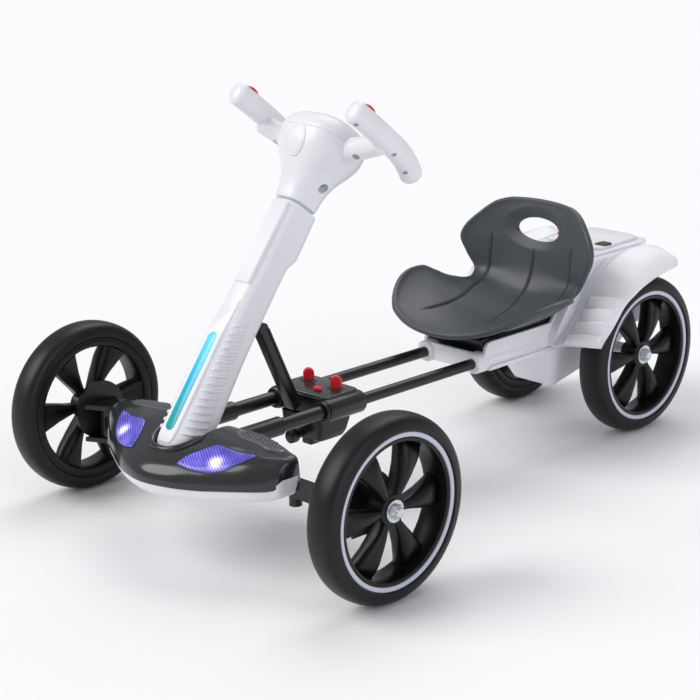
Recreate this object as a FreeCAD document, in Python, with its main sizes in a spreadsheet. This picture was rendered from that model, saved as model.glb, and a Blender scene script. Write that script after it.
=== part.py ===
# A child's ride-on electric go-kart: a steering column over a crescent front pod,
# two telescoping rails, a scoop seat and a narrow-tracked rear body with mudguards.
# Millimetres. The kart faces -Y, +X is its left and +Z is up. The origin lies on the
# floor, at the middle of the kart's length. Heights are above the floor. Places along the
# kart are behind the front axle, and for the rear body behind the rear datum.
import FreeCAD, Part
import Sketcher
import math
import os

Vec = FreeCAD.Vector
doc = FreeCAD.newDocument("go_kart")

# Driving sizes: name, millimetres or degrees. Each is set once, here.
DRIVING_SIZES = [
    # wheels and tracks
    ("wheelbase", 687.4), ("wheel_radius", 112.5), ("tyre_width", 42.6), ("tyre_drop", 5.5),
    ("bead_radius", 90.0), ("rim_lip_radius", 93.9), ("rim_wall", 5.5), ("trim_ring_radius", 84.8),
    ("trim_ring_depth", 2.4), ("hub_radius", 19.0), ("hub_recess", 10.0), ("spoke_recess", 9.0),
    ("spoke_depth", 23.0), ("spoke_root_width", 8.0), ("spoke_rim_width", 19.0), ("spoke_count", 6.0),
    ("front_overall_width", 590.4), ("rear_overall_width", 262.4),
    # axles and steering
    ("axle_shaft_radius", 6.0), ("axle_running_gap", 0.06), ("washer_radius", 12.0),
    ("washer_thickness", 2.0), ("nut_across_flats", 13.0), ("nut_height", 6.0),
    ("kingpin_inset", 67.2), ("kingpin_radius", 5.0), ("kingpin_housing_radius", 11.0),
    ("knuckle_plate", 6.0), ("knuckle_gap", 0.4), ("knuckle_half_height", 19.0),
    ("knuckle_drop", 13.5), ("dust_disc_radius", 38.0), ("dust_disc_thickness", 4.0),
    ("axle_beam_height", 18.0), ("axle_beam_depth", 20.0), ("steering_arm_reach", 36.0),
    ("tie_rod_radius", 5.0),
    # rails
    ("rail_half_gap", 42.8), ("rail_height", 143.6), ("front_tube_radius", 9.0),
    ("rear_tube_radius", 7.5), ("tube_slide_gap", 0.3), ("sleeve_radius", 12.0),
    ("sleeve_start", -14.0), ("sleeve_end", 52.0), ("rear_tube_start", 120.0),
    # clamp block
    ("block_front", 126.0), ("block_rear", 191.0), ("block_top", 161.0), ("clamp_radius", 15.0),
    ("block_base_bottom", 100.0), ("block_base_half_width", 37.0), ("lever_height", 14.0),
    # column and head
    ("column_pivot_y", -62.0), ("column_pivot_z", 140.0), ("column_lean", 36.87),
    ("column_length", 318.0), ("column_base_width", 50.0), ("column_base_depth", 58.0),
    ("column_top_width", 40.0), ("column_top_depth", 46.0), ("led_width", 9.0), ("led_depth", 2.0),
    ("head_half_width", 50.0), ("head_height", 106.0), ("head_depth", 92.0), ("head_gap", 4.0),
    ("grip_half_spread", 102.0), ("grip_radius", 14.5), ("grip_length", 142.0), ("arm_radius", 14.0),
    ("strut_width", 16.0), ("strut_depth", 20.0), ("strut_wall", 3.0), ("strut_pin_radius", 4.0),
    ("strut_pin_along", 168.0), ("strut_pin_back", 32.0), ("fold_pin_radius", 5.0), ("fold_pin_length", 74.0),
    # front pod
    ("pod_half_width", 158.0), ("pod_nose", 134.0), ("pod_top", 160.0), ("collar_gap", 3.5),
    # rear body and seat
    ("rear_datum_reach", 687.4), ("carrier_start", 407.0), ("carrier_end", 548.0), ("socket_radius", 12.5),
    ("wheel_body_gap", 18.6), ("body_bottom", 87.0), ("deck_height", 250.0), ("body_end", 792.0),
    ("fender_inner_radius", 156.0), ("fender_outer_radius", 116.0), ("fender_lift", 20.0),
    ("fender_thickness", 3.0), ("fender_overhang", 3.8), ("seat_half_width", 139.0),
    ("seat_wall", 7.0), ("seat_gap", 0.2),
]


class Size(float):
    """A number that also knows its formula, so that a property can be bound to the sheet."""

    def __new__(cls, value, formula):
        size = super().__new__(cls, value)
        size.formula = formula
        return size

    def __add__(self, other):
        return Size(float(self) + float(other), "(" + self.formula + " + " + text(other) + ")")

    def __sub__(self, other):
        return Size(float(self) - float(other), "(" + self.formula + " - " + text(other) + ")")

    def __rsub__(self, other):
        return Size(float(other) - float(self), "(" + text(other) + " - " + self.formula + ")")

    def __mul__(self, other):
        return Size(float(self) * float(other), "(" + self.formula + " * " + text(other) + ")")

    def __truediv__(self, other):
        return Size(float(self) / float(other), "(" + self.formula + " / " + text(other) + ")")

    def __neg__(self):
        return Size(-float(self), "(0 - " + self.formula + ")")

    __radd__ = __add__
    __rmul__ = __mul__


def text(number):
    if isinstance(number, Size):
        return number.formula
    return "(" + repr(float(number)) + ")"


def make_sheet():
    """The spreadsheet of driving sizes, and the same sizes under their names."""
    sheet = doc.addObject("Spreadsheet::Sheet", "sizes")
    for row, (name, value) in enumerate(DRIVING_SIZES, start=1):
        sheet.set("A" + str(row), name)
        sheet.set("B" + str(row), str(value))
        sheet.setAlias("B" + str(row), name)
    doc.recompute()
    return {name: Size(sheet.get(name), "sizes." + name) for name, _ in DRIVING_SIZES}


class Named:
    """The sheet's sizes as attributes."""

    def __init__(self, sizes):
        self.__dict__.update(sizes)


g = Named(make_sheet())
front_axle = (g.pod_nose - g.wheel_radius - g.wheelbase) / 2
rear_axle = front_axle + g.wheelbase
rear_datum = rear_axle - g.rear_datum_reach
kingpin_half_track = g.front_overall_width / 2 - g.kingpin_inset
body_half_width = g.rear_overall_width / 2 - g.tyre_width - g.wheel_body_gap
fender_reach = g.rear_overall_width / 2 + g.fender_overhang
NODES = []


def bind(obj, **values):
    for name, value in values.items():
        if isinstance(value, Size):
            obj.setExpression(name, value.formula)
        else:
            setattr(obj, name, value)
    return obj


def move(obj, base, axis=(0, 0, 1), angle=0.0):
    """Turn an object by an angle about an axis and carry its origin to a place."""
    turn = FreeCAD.Rotation(Vec(*axis), float(angle))
    obj.Placement = FreeCAD.Placement(Vec(*[float(value) for value in base]), turn)
    for letter, value in zip("xyz", base):
        if isinstance(value, Size):
            obj.setExpression("Placement.Base." + letter, value.formula)
    return obj


def node(obj, label):
    """Name a finished sub-part."""
    obj.Label = label
    NODES.append(obj)
    return obj


TURNS = {"x": ((0, 1, 0), 90.0), "y": ((1, 0, 0), -90.0), "z": ((0, 0, 1), 0.0)}


def cylinder(radius, length, start, along):
    """A cylinder from a start point along +x, +y or +z."""
    obj = bind(doc.addObject("Part::Cylinder", "cylinder"), Radius=radius, Height=length)
    return move(obj, start, *TURNS[along])


def box(low, size):
    obj = bind(doc.addObject("Part::Box", "box"), Length=size[0], Width=size[1], Height=size[2])
    return move(obj, low)


def prism(sides, radius, length, start, along):
    obj = bind(doc.addObject("Part::Prism", "prism"), Polygon=sides, Circumradius=radius, Height=length)
    return move(obj, start, *TURNS[along])


def fuse(*objects):
    obj = doc.addObject("Part::MultiFuse", "joined")
    obj.Shapes = list(objects)
    return obj


def cut(base, *tools):
    for tool in tools:
        obj = doc.addObject("Part::Cut", "cut")
        obj.Base = base
        obj.Tool = tool
        base = obj
    return base


def shape(solid):
    """A free-form solid, made by Part's own functions from the named sizes."""
    obj = doc.addObject("Part::Feature", "form")
    obj.Shape = solid
    return obj


def body_sketch(body, plane):
    origin = [item for item in body.Origin.OriginFeatures if item.Role == plane][0]
    sketch = body.newObject("Sketcher::SketchObject", "outline")
    sketch.AttachmentSupport = (origin, [""])
    sketch.MapMode = "FlatFace"
    return sketch


def pin_point(sketch, geometry, end, point):
    """Hold one point of the sketch at two bound distances from its origin."""
    for kind, value in zip(("DistanceX", "DistanceY"), point):
        number = sketch.addConstraint(Sketcher.Constraint(kind, -1, 1, geometry, end, float(value)))
        if isinstance(value, Size):
            sketch.setExpression("Constraints[" + str(number) + "]", value.formula)


def draw(sketch, *steps):
    """A closed outline. A step is a corner (u, v), or (u, v, u, v): an arc through the first
    point to the second."""
    corners = [step[-2:] for step in steps]
    for index, step in enumerate(steps):
        start = corners[index - 1]
        end = corners[index]
        first = Vec(float(start[0]), float(start[1]), 0)
        last = Vec(float(end[0]), float(end[1]), 0)
        if len(step) == 4:
            middle = Vec(float(step[0]), float(step[1]), 0)
            turns_left = (middle - first).cross(last - middle).z > 0
            ends = (first, last) if turns_left else (last, first)
            number = sketch.addGeometry(Part.Arc(ends[0], middle, ends[1]), False)
            point = sketch.addGeometry(Part.Point(middle), True)
            pin_point(sketch, number, 1, start if turns_left else end)
            pin_point(sketch, number, 2, end if turns_left else start)
            pin_point(sketch, point, 1, step[:2])
            sketch.addConstraint(Sketcher.Constraint("PointOnObject", point, 1, number))
        else:
            number = sketch.addGeometry(Part.LineSegment(first, last), False)
            pin_point(sketch, number, 1, start)
            pin_point(sketch, number, 2, end)
    return sketch


def body_axis(body, role):
    return ([item for item in body.Origin.OriginFeatures if item.Role == role][0], [""])


def revolved(body, sketch, role="X_Axis"):
    feature = body.newObject("PartDesign::Revolution", "turned")
    feature.Profile = sketch
    feature.ReferenceAxis = body_axis(body, role)
    feature.Angle = 360.0
    return feature


def padded(body, sketch, length):
    feature = body.newObject("PartDesign::Pad", "pad")
    feature.Profile = sketch
    feature.SideType = "Symmetric"
    return bind(feature, Length=length)


def pocketed(body, sketch, length):
    feature = body.newObject("PartDesign::Pocket", "pocket")
    feature.Profile = sketch
    feature.SideType = "Symmetric"
    return bind(feature, Length=length)


# Wheels: a moulded tyre, a six-blade centre and a pale trim ring in the outer face.
def tyre():
    body = doc.addObject("PartDesign::Body", "tyre_turning")
    half = g.tyre_width / 2
    crown = g.wheel_radius
    draw(body_sketch(body, "XY_Plane"),
         (-half + 1.0, g.rim_lip_radius), (-half, g.rim_lip_radius + 2.0),
         (-half, crown - g.tyre_drop - 3.0), (-half + 2.2, crown - g.tyre_drop),
         (-half * 0.5, crown - 1.2), (0.0, crown), (half * 0.5, crown - 1.2),
         (half - 2.2, crown - g.tyre_drop), (half, crown - g.tyre_drop - 3.0),
         (half, g.rim_lip_radius + 2.0), (half - 1.0, g.rim_lip_radius),
         (half - 5.0, g.rim_lip_radius), (half - 5.0, g.bead_radius),
         (-half + 5.0, g.bead_radius), (-half + 5.0, g.rim_lip_radius))
    revolved(body, body.Group[-1])
    return body


def wheel_centre():
    body = doc.addObject("PartDesign::Body", "wheel_centre")
    half = g.tyre_width / 2
    seat = g.bead_radius
    inner = g.bead_radius - g.rim_wall
    bore = g.axle_shaft_radius + g.axle_running_gap
    face = half - g.hub_recess
    web_out = half - g.spoke_recess
    web_in = web_out - g.spoke_depth
    draw(body_sketch(body, "XY_Plane"),
         (-half + 2.0, bore), (face, bore), (face, g.hub_radius - 3.0), (face - 1.5, g.hub_radius),
         (web_out + 2.0, 46.0), (web_out - 4.0, inner), (half - g.trim_ring_depth, inner),
         (half - g.trim_ring_depth, g.trim_ring_radius), (half - 5.0, g.trim_ring_radius + 1.0),
         (half - 5.0, seat), (-half + 5.0, seat), (-half + 5.0, g.rim_lip_radius),
         (-half + 1.0, g.rim_lip_radius), (-half + 1.0, inner), (web_in + 1.0, inner),
         (web_in + 6.0, 46.0), (web_in, 22.0), (-half + 6.0, 14.0), (-half + 6.0, 14.0 + 3.0),
         (-half + 2.0, 14.0 + 3.0))
    revolved(body, body.Group[-1])
    window = body_sketch(body, "YZ_Plane")
    root = g.spoke_root_width / 2
    rim = g.spoke_rim_width / 2
    side = math.radians(60.0)
    cos, sin = math.cos(side), math.sin(side)
    low = g.hub_radius + 2.0
    high = inner - 0.6
    right_low = (low * cos - root * sin + 1.5, low * sin + root * cos)
    right_high = (high * cos - rim * sin, high * sin + rim * cos)
    draw(window, (0.0, low + 0.9, right_low[0], right_low[1]), right_high,
         (0.0, high + 0.55, -right_high[0], right_high[1]), (-right_low[0], right_low[1]))
    pocket = pocketed(body, window, g.tyre_width * 2)
    pattern = body.newObject("PartDesign::PolarPattern", "windows")
    pattern.Originals = [pocket]
    pattern.Axis = body_axis(body, "X_Axis")
    pattern.Angle = 360.0
    pattern.Occurrences = int(g.spoke_count)
    body.Tip = pattern
    return body


def trim_ring():
    body = doc.addObject("PartDesign::Body", "trim_ring")
    half = g.tyre_width / 2
    draw(body_sketch(body, "XY_Plane"),
         (half - g.trim_ring_depth, g.trim_ring_radius), (half - 0.4, g.trim_ring_radius),
         (half - 0.4, g.rim_lip_radius), (half - 5.0, g.rim_lip_radius), (half - 5.0, g.bead_radius),
         (half - g.trim_ring_depth, g.bead_radius - 1.0))
    revolved(body, body.Group[-1])
    return body


# Four like wheels: name, side of the kart (+1 left), axle place, overall width at that axle.
WHEELS = [
    ("front_left", 1, front_axle, g.front_overall_width),
    ("front_right", -1, front_axle, g.front_overall_width),
    ("rear_left", 1, rear_axle, g.rear_overall_width),
    ("rear_right", -1, rear_axle, g.rear_overall_width),
]


def wheels():
    for name, side, axle, overall in WHEELS:
        middle = (overall / 2 - g.tyre_width / 2) * side
        turn = 0.0 if side > 0 else 180.0
        for maker, label in ((tyre, "tyre_"), (wheel_centre, "wheel_centre_"), (trim_ring, "trim_ring_")):
            node(move(maker(), (middle, axle, g.wheel_radius), (0, 0, 1), turn), label + name)


def shaft_end(side, axle, overall, start):
    """A fixed shaft from a start out through a wheel, with its washer, nut and thread end."""
    face = overall / 2 - g.hub_recess
    nut_radius = g.nut_across_flats / math.sqrt(3.0)
    pieces = []
    for radius, low, high in (
            (g.axle_shaft_radius, start, face + g.washer_thickness + g.nut_height + 0.8),
            (g.washer_radius, face + 0.3, face + 0.3 + g.washer_thickness)):
        begin = low if side > 0 else -high
        pieces.append(cylinder(radius, high - low, (begin, axle, g.wheel_radius), "x"))
    low = face + 0.3 + g.washer_thickness
    begin = low if side > 0 else -(low + g.nut_height)
    pieces.append(prism(6, nut_radius, g.nut_height, (begin, axle, g.wheel_radius), "x"))
    return pieces


# Front axle: a fixed beam that ends in two upright kingpin tubes.
def front_axle_beam():
    middle = g.wheel_radius - g.knuckle_drop
    reach = kingpin_half_track
    beam = box((-reach, front_axle - g.axle_beam_depth / 2, middle - g.axle_beam_height / 2),
               (reach * 2, g.axle_beam_depth, g.axle_beam_height))
    ends = []
    for side in (1, -1):
        low = middle - g.knuckle_half_height + g.knuckle_gap
        ends.append(cylinder(g.kingpin_housing_radius, (g.knuckle_half_height - g.knuckle_gap) * 2,
                             (reach * side, front_axle, low), "z"))
    bores = [cylinder(g.kingpin_radius + g.axle_running_gap, g.wheel_radius * 2,
                      (reach * side, front_axle, 0.0), "z") for side in (1, -1)]
    bosses = [cylinder(8.0, 16.0, (125.0 * side, front_axle, middle - 22.0), "z") for side in (1, -1)]
    return node(cut(fuse(beam, *ends, *bosses), *bores), "front_axle")


def knuckle(side, name):
    """A C-shaped bracket on the kingpin, with the dust disc, stub shaft and steering arm."""
    middle = g.wheel_radius - g.knuckle_drop
    pin_x = kingpin_half_track * side
    wheel_inner = g.front_overall_width / 2 - g.tyre_width
    disc_out = wheel_inner - 5.0
    disc_in = disc_out - g.dust_disc_thickness
    disc_start = disc_in if side > 0 else -disc_out
    disc = cylinder(g.dust_disc_radius, g.dust_disc_thickness, (disc_start, front_axle, g.wheel_radius), "x")
    pieces = [disc]
    for low in (middle + g.knuckle_half_height, middle - g.knuckle_half_height - g.knuckle_plate):
        body = doc.addObject("PartDesign::Body", "plate")
        sketch = body_sketch(body, "XY_Plane")
        inner = kingpin_half_track - 15.0
        outer = disc_in + 1.0
        steps = [(outer, -26.0), (outer, 26.0), (kingpin_half_track - 4.0, 15.0),
                 (inner, 0.0, kingpin_half_track - 4.0, -15.0)]
        draw(sketch, *steps)
        pad = body.newObject("PartDesign::Pad", "pad")
        pad.Profile = sketch
        bind(pad, Length=g.knuckle_plate)
        if side > 0:
            move(body, (0.0, front_axle, low))
        else:
            move(body, (0.0, front_axle, low + g.knuckle_plate), (0, 1, 0), 180.0)
        pieces.append(body)
    pin_low = middle - g.knuckle_half_height - g.knuckle_plate - 3.0
    pin_high = middle + g.knuckle_half_height + g.knuckle_plate + 3.0
    pieces.append(cylinder(g.kingpin_radius, pin_high - pin_low, (pin_x, front_axle, pin_low), "z"))
    arm_low = middle - g.knuckle_half_height - g.knuckle_plate
    arm_start = kingpin_half_track - 8.0 if side > 0 else -kingpin_half_track - 8.0
    pieces.append(box((arm_start, front_axle + 8.0, arm_low),
                      (16.0, g.steering_arm_reach - 8.0, g.knuckle_plate)))
    pieces.append(cylinder(8.0, g.knuckle_plate, (pin_x, front_axle + g.steering_arm_reach, arm_low), "z"))
    pieces.append(cylinder(3.0, 20.0, (pin_x, front_axle + g.steering_arm_reach, arm_low), "z"))
    pieces += shaft_end(side, front_axle, g.front_overall_width, disc_in + 1.0)
    spacer_start = disc_in + 1.0
    spacer_end = wheel_inner + 1.6
    begin = spacer_start if side > 0 else -spacer_end
    pieces.append(cylinder(10.0, spacer_end - spacer_start, (begin, front_axle, g.wheel_radius), "x"))
    return node(fuse(*pieces), "knuckle_" + name)


def tie_rod():
    """The bar behind the axle that turns both knuckles together; its eyes sit on their pins."""
    middle = g.wheel_radius - g.knuckle_drop
    height = middle - g.knuckle_half_height + 5.8
    place = front_axle + g.steering_arm_reach
    reach = kingpin_half_track
    bar = cylinder(g.tie_rod_radius, (reach - 8.0) * 2, (-(reach - 8.0), place, height), "x")
    eyes = []
    bores = []
    for side in (1, -1):
        eyes.append(cylinder(10.5, 11.0, (reach * side, place, height - 5.5), "z"))
        bores.append(cylinder(7.2, 14.0, (reach * side, place, height - 7.0), "z"))
    return node(cut(fuse(bar, *eyes), *bores), "tie_rod")


# Front pod: a crescent shell over a paler lip, lofted across the kart. Each row holds the place
# across, then the outline from the parting line over the crest to the rear edge.
POD_SECTIONS = [
    (0.0, [(-134, 111), (-134, 119), (-129, 129), (-117, 138), (-98, 146), (-74, 152), (-44, 157), (-20, 157),
           (-9, 149), (-6, 111)]),
    (40.0, [(-126, 111), (-126, 119), (-121, 129), (-110, 138), (-92, 147), (-70, 154), (-43, 159), (-20, 158),
            (-9, 149), (-6, 111)]),
    (72.0, [(-111, 111), (-111, 119), (-107, 129), (-97, 138), (-83, 147), (-66, 155), (-44, 158), (-22, 157),
            (-11, 149), (-7, 111)]),
    (100.0, [(-96, 113), (-96, 121), (-92, 131), (-84, 141), (-72, 148), (-60, 153), (-42, 156), (-22, 155),
             (-12, 148), (-9, 113)]),
    (122.0, [(-84, 115), (-84, 123), (-80, 134), (-72, 144), (-62, 150), (-52, 153), (-38, 155), (-24, 154),
             (-15, 148), (-12, 115)]),
    (140.0, [(-71, 116), (-71, 125), (-67, 137), (-60, 146), (-52, 151), (-44, 153), (-35, 154), (-27, 153),
             (-19, 147), (-16, 116)]),
    (152.0, [(-60, 118), (-60, 128), (-57, 138), (-51, 146), (-45, 150), (-40, 152), (-35, 152), (-30, 151),
             (-24, 146), (-21, 118)]),
    (158.0, [(-50, 122), (-50, 129), (-48, 136), (-44, 141), (-41, 144), (-38, 145), (-35, 145), (-32, 144),
             (-28, 140), (-26, 122)]),
]
LIP_SECTIONS = [
    (0.0, [(-131, 110.7), (-130, 105), (-126, 98), (-120, 93.5), (-112, 93), (-16, 94), (-9, 100), (-9, 110.7)]),
    (40.0, [(-123.5, 110.7), (-122.5, 105), (-119, 98), (-113, 94), (-105, 93.5), (-16, 94.5), (-10, 100),
            (-10, 110.7)]),
    (72.0, [(-109, 110.7), (-108.3, 106), (-106, 100), (-101, 95.5), (-94, 95), (-18, 95.5), (-11, 101),
            (-11, 110.7)]),
    (100.0, [(-94, 112.7), (-93.5, 108), (-91.5, 102), (-87.5, 97.5), (-82, 97), (-20, 97.5), (-13, 103),
             (-13, 112.7)]),
    (122.0, [(-82, 114.7), (-81.6, 110), (-80, 104), (-76.5, 100), (-72, 99.5), (-24, 100), (-16, 105),
             (-16, 114.7)]),
    (140.0, [(-69.5, 115.7), (-69.2, 112), (-68, 106), (-65.5, 102.5), (-62, 102), (-30, 102.5), (-20, 107),
             (-20, 115.7)]),
    (152.0, [(-58.5, 117.7), (-58.4, 114), (-57.6, 109), (-56, 106), (-53.5, 105.5), (-34, 106), (-25, 110),
             (-25, 117.7)]),
    (158.0, [(-49, 121.7), (-49, 119), (-48.6, 114), (-47.8, 111.5), (-46, 111), (-38, 111.5), (-31, 114),
             (-31, 121.7)]),
]
POD_DRAWN_NOSE = 134.0
POD_DRAWN_HALF_WIDTH = 158.0
POD_DRAWN_TOP = 160.0


def polygon(points):
    return Part.makePolygon(points + points[:1])


def pod_wire(x, outline):
    """One section of the pod, from the drawn numbers to the driving sizes."""
    wide = float(g.pod_half_width) / POD_DRAWN_HALF_WIDTH
    long = float(g.pod_nose) / POD_DRAWN_NOSE
    tall = float(g.pod_top) / POD_DRAWN_TOP
    return polygon([Vec(x * wide, float(front_axle) + y * long, z * tall) for y, z in outline])


def pod_cutters():
    """What passes through the pod: the axle beam, the column's foot and the room for its fold."""
    middle = g.wheel_radius - g.knuckle_drop
    beam = box((-g.pod_half_width * 2, front_axle - g.axle_beam_depth / 2, middle - g.axle_beam_height / 2),
               (g.pod_half_width * 4, g.axle_beam_depth * 2, g.axle_beam_height))
    half = g.column_base_width / 2 + g.collar_gap
    barrel = g.column_base_depth / 2 + g.collar_gap
    pivot = front_axle + g.column_pivot_y
    slot = box((-half, pivot, g.column_pivot_z - barrel), (half * 2, g.wheelbase, g.wheelbase))
    well = cylinder(barrel, half * 2, (-half, pivot, g.column_pivot_z), "x")
    wide = g.column_base_width + g.collar_gap * 2
    deep = g.column_base_depth + g.collar_gap * 2
    mouth = shape(Part.makeLoft([rounded_section(-6.0, -4.0, wide, deep, 19.0),
                                 rounded_section(90.0, -4.0, wide, deep, 19.0)], True, True))
    sleeves = [cylinder(g.sleeve_radius, g.wheelbase,
                        (g.rail_half_gap * side, front_axle + g.sleeve_start, g.rail_height), "y")
               for side in (1, -1)]
    pin = cylinder(g.fold_pin_radius, g.fold_pin_length,
                   (-g.fold_pin_length / 2, pivot, g.column_pivot_z), "x")
    return [beam, slot, well, mouth, pin] + sleeves


def pod():
    for sections, label in ((POD_SECTIONS, "pod_shell"), (LIP_SECTIONS, "pod_lip")):
        both_sides = [(-x, outline) for x, outline in reversed(sections[1:])] + sections
        solid = Part.makeLoft([pod_wire(x, outline) for x, outline in both_sides], True, True)
        node(cut(shape(solid), *pod_cutters()), label)


# Rails: sleeves, fixed front tubes and the rear tubes that slide in them.
def rails():
    for name, side in (("left", 1), ("right", -1)):
        x = g.rail_half_gap * side
        inner_radius = g.rear_tube_radius + g.tube_slide_gap
        start = front_axle + g.sleeve_start
        sleeve = cylinder(g.sleeve_radius, g.sleeve_end - g.sleeve_start, (x, start, g.rail_height), "y")
        hole = cylinder(g.front_tube_radius, g.sleeve_end * 2, (x, start - 1.0, g.rail_height), "y")
        node(cut(sleeve, hole), "rail_sleeve_" + name)
        tube = cylinder(g.front_tube_radius, g.block_rear - g.sleeve_start, (x, start, g.rail_height), "y")
        bore = cylinder(inner_radius, g.wheelbase, (x, start - 1.0, g.rail_height), "y")
        node(cut(tube, bore), "front_tube_" + name)
        length = rear_datum + g.carrier_start + 40.0 - front_axle - g.rear_tube_start
        node(cylinder(g.rear_tube_radius, length,
                      (x, front_axle + g.rear_tube_start, g.rail_height), "y"), "rear_tube_" + name)


def clamp_block():
    body = doc.addObject("PartDesign::Body", "clamp_profile")
    sketch = body_sketch(body, "XZ_Plane")
    gap = g.rail_half_gap
    edge = gap + g.clamp_radius
    top = g.block_top
    mid = g.rail_height
    low = mid - g.clamp_radius
    draw(sketch, (-edge, mid, -gap, low), (gap, low), (edge, mid, gap, top), (-gap, top))
    padded(body, sketch, g.block_rear - g.block_front)
    move(body, (0.0, front_axle + (g.block_front + g.block_rear) / 2, 0.0))
    holes = [cylinder(g.front_tube_radius, g.wheelbase, (gap * side, front_axle, mid), "y") for side in (1, -1)]
    node(cut(body, *holes), "clamp_block")
    half = g.block_base_half_width
    base = box((-half, front_axle + g.block_front, g.block_base_bottom),
               (half * 2, g.block_rear - g.block_front - 6.0, low - g.block_base_bottom))
    node(base, "block_base")
    for name, x, y in (("lever_left", 25.0, 168.0), ("lever_right", -25.0, 168.0), ("lock_button", 14.0, 146.0)):
        tall = g.lever_height if name != "lock_button" else g.lever_height / 3
        node(box((x - 6.0, front_axle + y - 3.0, top), (12.0, 6.0, tall)), name)
    node(cylinder(8.5, 14.0, (0.0, front_axle + g.block_front - 14.0, g.block_base_bottom + 6.0), "y"),
         "block_knob")


# Column: its own frame has s along the lean, d towards the back, x across.
def lean_vectors():
    lean = math.radians(g.column_lean)
    return Vec(0, math.sin(lean), math.cos(lean)), Vec(0, math.cos(lean), -math.sin(lean))


def column_point(x, along, back):
    """A point given across, along and behind the column's pivot."""
    up, behind = lean_vectors()
    pivot = Vec(0, float(front_axle + g.column_pivot_y), float(g.column_pivot_z))
    return pivot + Vec(float(x), 0, 0) + up * float(along) + behind * float(back)


def rounded_section(along, centre, width, depth, corner):
    """A rounded rectangle across the column at one station, as a closed wire."""
    half_w = width / 2
    half_d = depth / 2
    edges = []
    bend = corner * (1 - math.sqrt(0.5))
    corners = ((1, 1), (-1, 1), (-1, -1), (1, -1))
    for index, (sx, sd) in enumerate(corners):
        if sx * sd > 0:
            first = (sx * half_w, centre + sd * (half_d - corner))
            last = (sx * (half_w - corner), centre + sd * half_d)
        else:
            first = (sx * (half_w - corner), centre + sd * half_d)
            last = (sx * half_w, centre + sd * (half_d - corner))
        middle = (sx * (half_w - bend), centre + sd * (half_d - bend))
        edges.append(Part.Arc(*[column_point(x, along, back) for x, back in (first, middle, last)]).toShape())
        next_x, next_d = corners[(index + 1) % 4]
        if next_x != sx:
            start, stop = (sx * (half_w - corner), centre + sd * half_d), (next_x * (half_w - corner), centre + sd * half_d)
        else:
            start, stop = (sx * half_w, centre + sd * (half_d - corner)), (sx * half_w, centre + next_d * (half_d - corner))
        edges.append(Part.makeLine(column_point(start[0], along, start[1]), column_point(stop[0], along, stop[1])))
    return Part.Wire(Part.__sortEdges__(edges))


def column():
    top = g.column_length
    sections = (
        (16.0, -4.0, g.column_base_width, g.column_base_depth, 17.0),
        (130.0, -8.5, g.column_top_width + 3.0, g.column_top_depth + 5.5, 15.0),
        (top - 76.0, -7.2, g.column_top_width + 1.5, g.column_top_depth, 14.0),
        (top - 59.0, -3.2, g.column_top_width + 1.0, g.column_top_depth + 8.0, 14.0),
        (top, -3.2, g.column_top_width, g.column_top_depth + 8.0, 14.0),
    )
    stalk = Part.makeLoft([rounded_section(*row) for row in sections], True, True)
    foot = cylinder(g.column_base_depth / 2 - 1.0, g.column_base_width - 4.0,
                    (-(g.column_base_width - 4.0) / 2, front_axle + g.column_pivot_y, g.column_pivot_z), "x")
    neck = Part.makeLoft([rounded_section(0.0, -2.0, g.column_base_width - 4.0, g.column_base_depth - 6.0, 15.0),
                          rounded_section(18.0, -4.0, g.column_base_width - 1.0, g.column_base_depth - 1.0, 16.0)],
                         True, True)
    ears = []
    for side in (1, -1):
        x = side * float(g.strut_width / 2 + 0.5)
        ear_end = side * float(g.strut_width / 2 + 3.5)
        inside = float(g.strut_pin_back) - 18.0
        low, high = min(x, ear_end), max(x, ear_end)
        corners = [column_point(low, g.strut_pin_along + reach, back)
                   for reach, back in ((-8.0, inside), (8.0, inside), (8.0, g.strut_pin_back + 3.0),
                                       (-8.0, g.strut_pin_back + 3.0))]
        ears.append(Part.Face(Part.makePolygon(corners + corners[:1])).extrude(Vec(high - low, 0, 0)))
    pin = cylinder_between(column_point(-12.0, g.strut_pin_along, g.strut_pin_back),
                           column_point(12.0, g.strut_pin_along, g.strut_pin_back), g.strut_pin_radius)
    ring = cylinder_between(column_point(0.0, g.column_length - 2.0, -8.0),
                            column_point(0.0, g.column_length + g.head_gap - 0.3, -8.0), 16.0)
    solid = stalk.fuse([neck, pin, ring] + ears)
    bore = cylinder(g.fold_pin_radius + g.axle_running_gap, g.pod_half_width * 2,
                    (-g.pod_half_width, front_axle + g.column_pivot_y, g.column_pivot_z), "x")
    node(cut(fuse(shape(solid), foot), bore), "column")
    node(cylinder(g.fold_pin_radius, g.fold_pin_length,
                  (-g.fold_pin_length / 2, front_axle + g.column_pivot_y, g.column_pivot_z), "x"), "fold_pin")
    bar = Part.makeLoft([rounded_section(10.0, -34.0, g.led_width, 6.0 + g.led_depth, 2.0),
                         rounded_section(129.0, -35.5, g.led_width, 6.0 + g.led_depth, 2.0)], True, True)
    node(cut(shape(bar), shape(solid)), "led_strip")
    panel = Part.makeLoft([rounded_section(top - 115.0, -29.0, 26.0, 9.6, 3.0),
                           rounded_section(top - 3.0, -28.0, 26.0, 9.6, 3.0)], True, True)
    node(cut(shape(panel), shape(stalk)), "column_panel")


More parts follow.
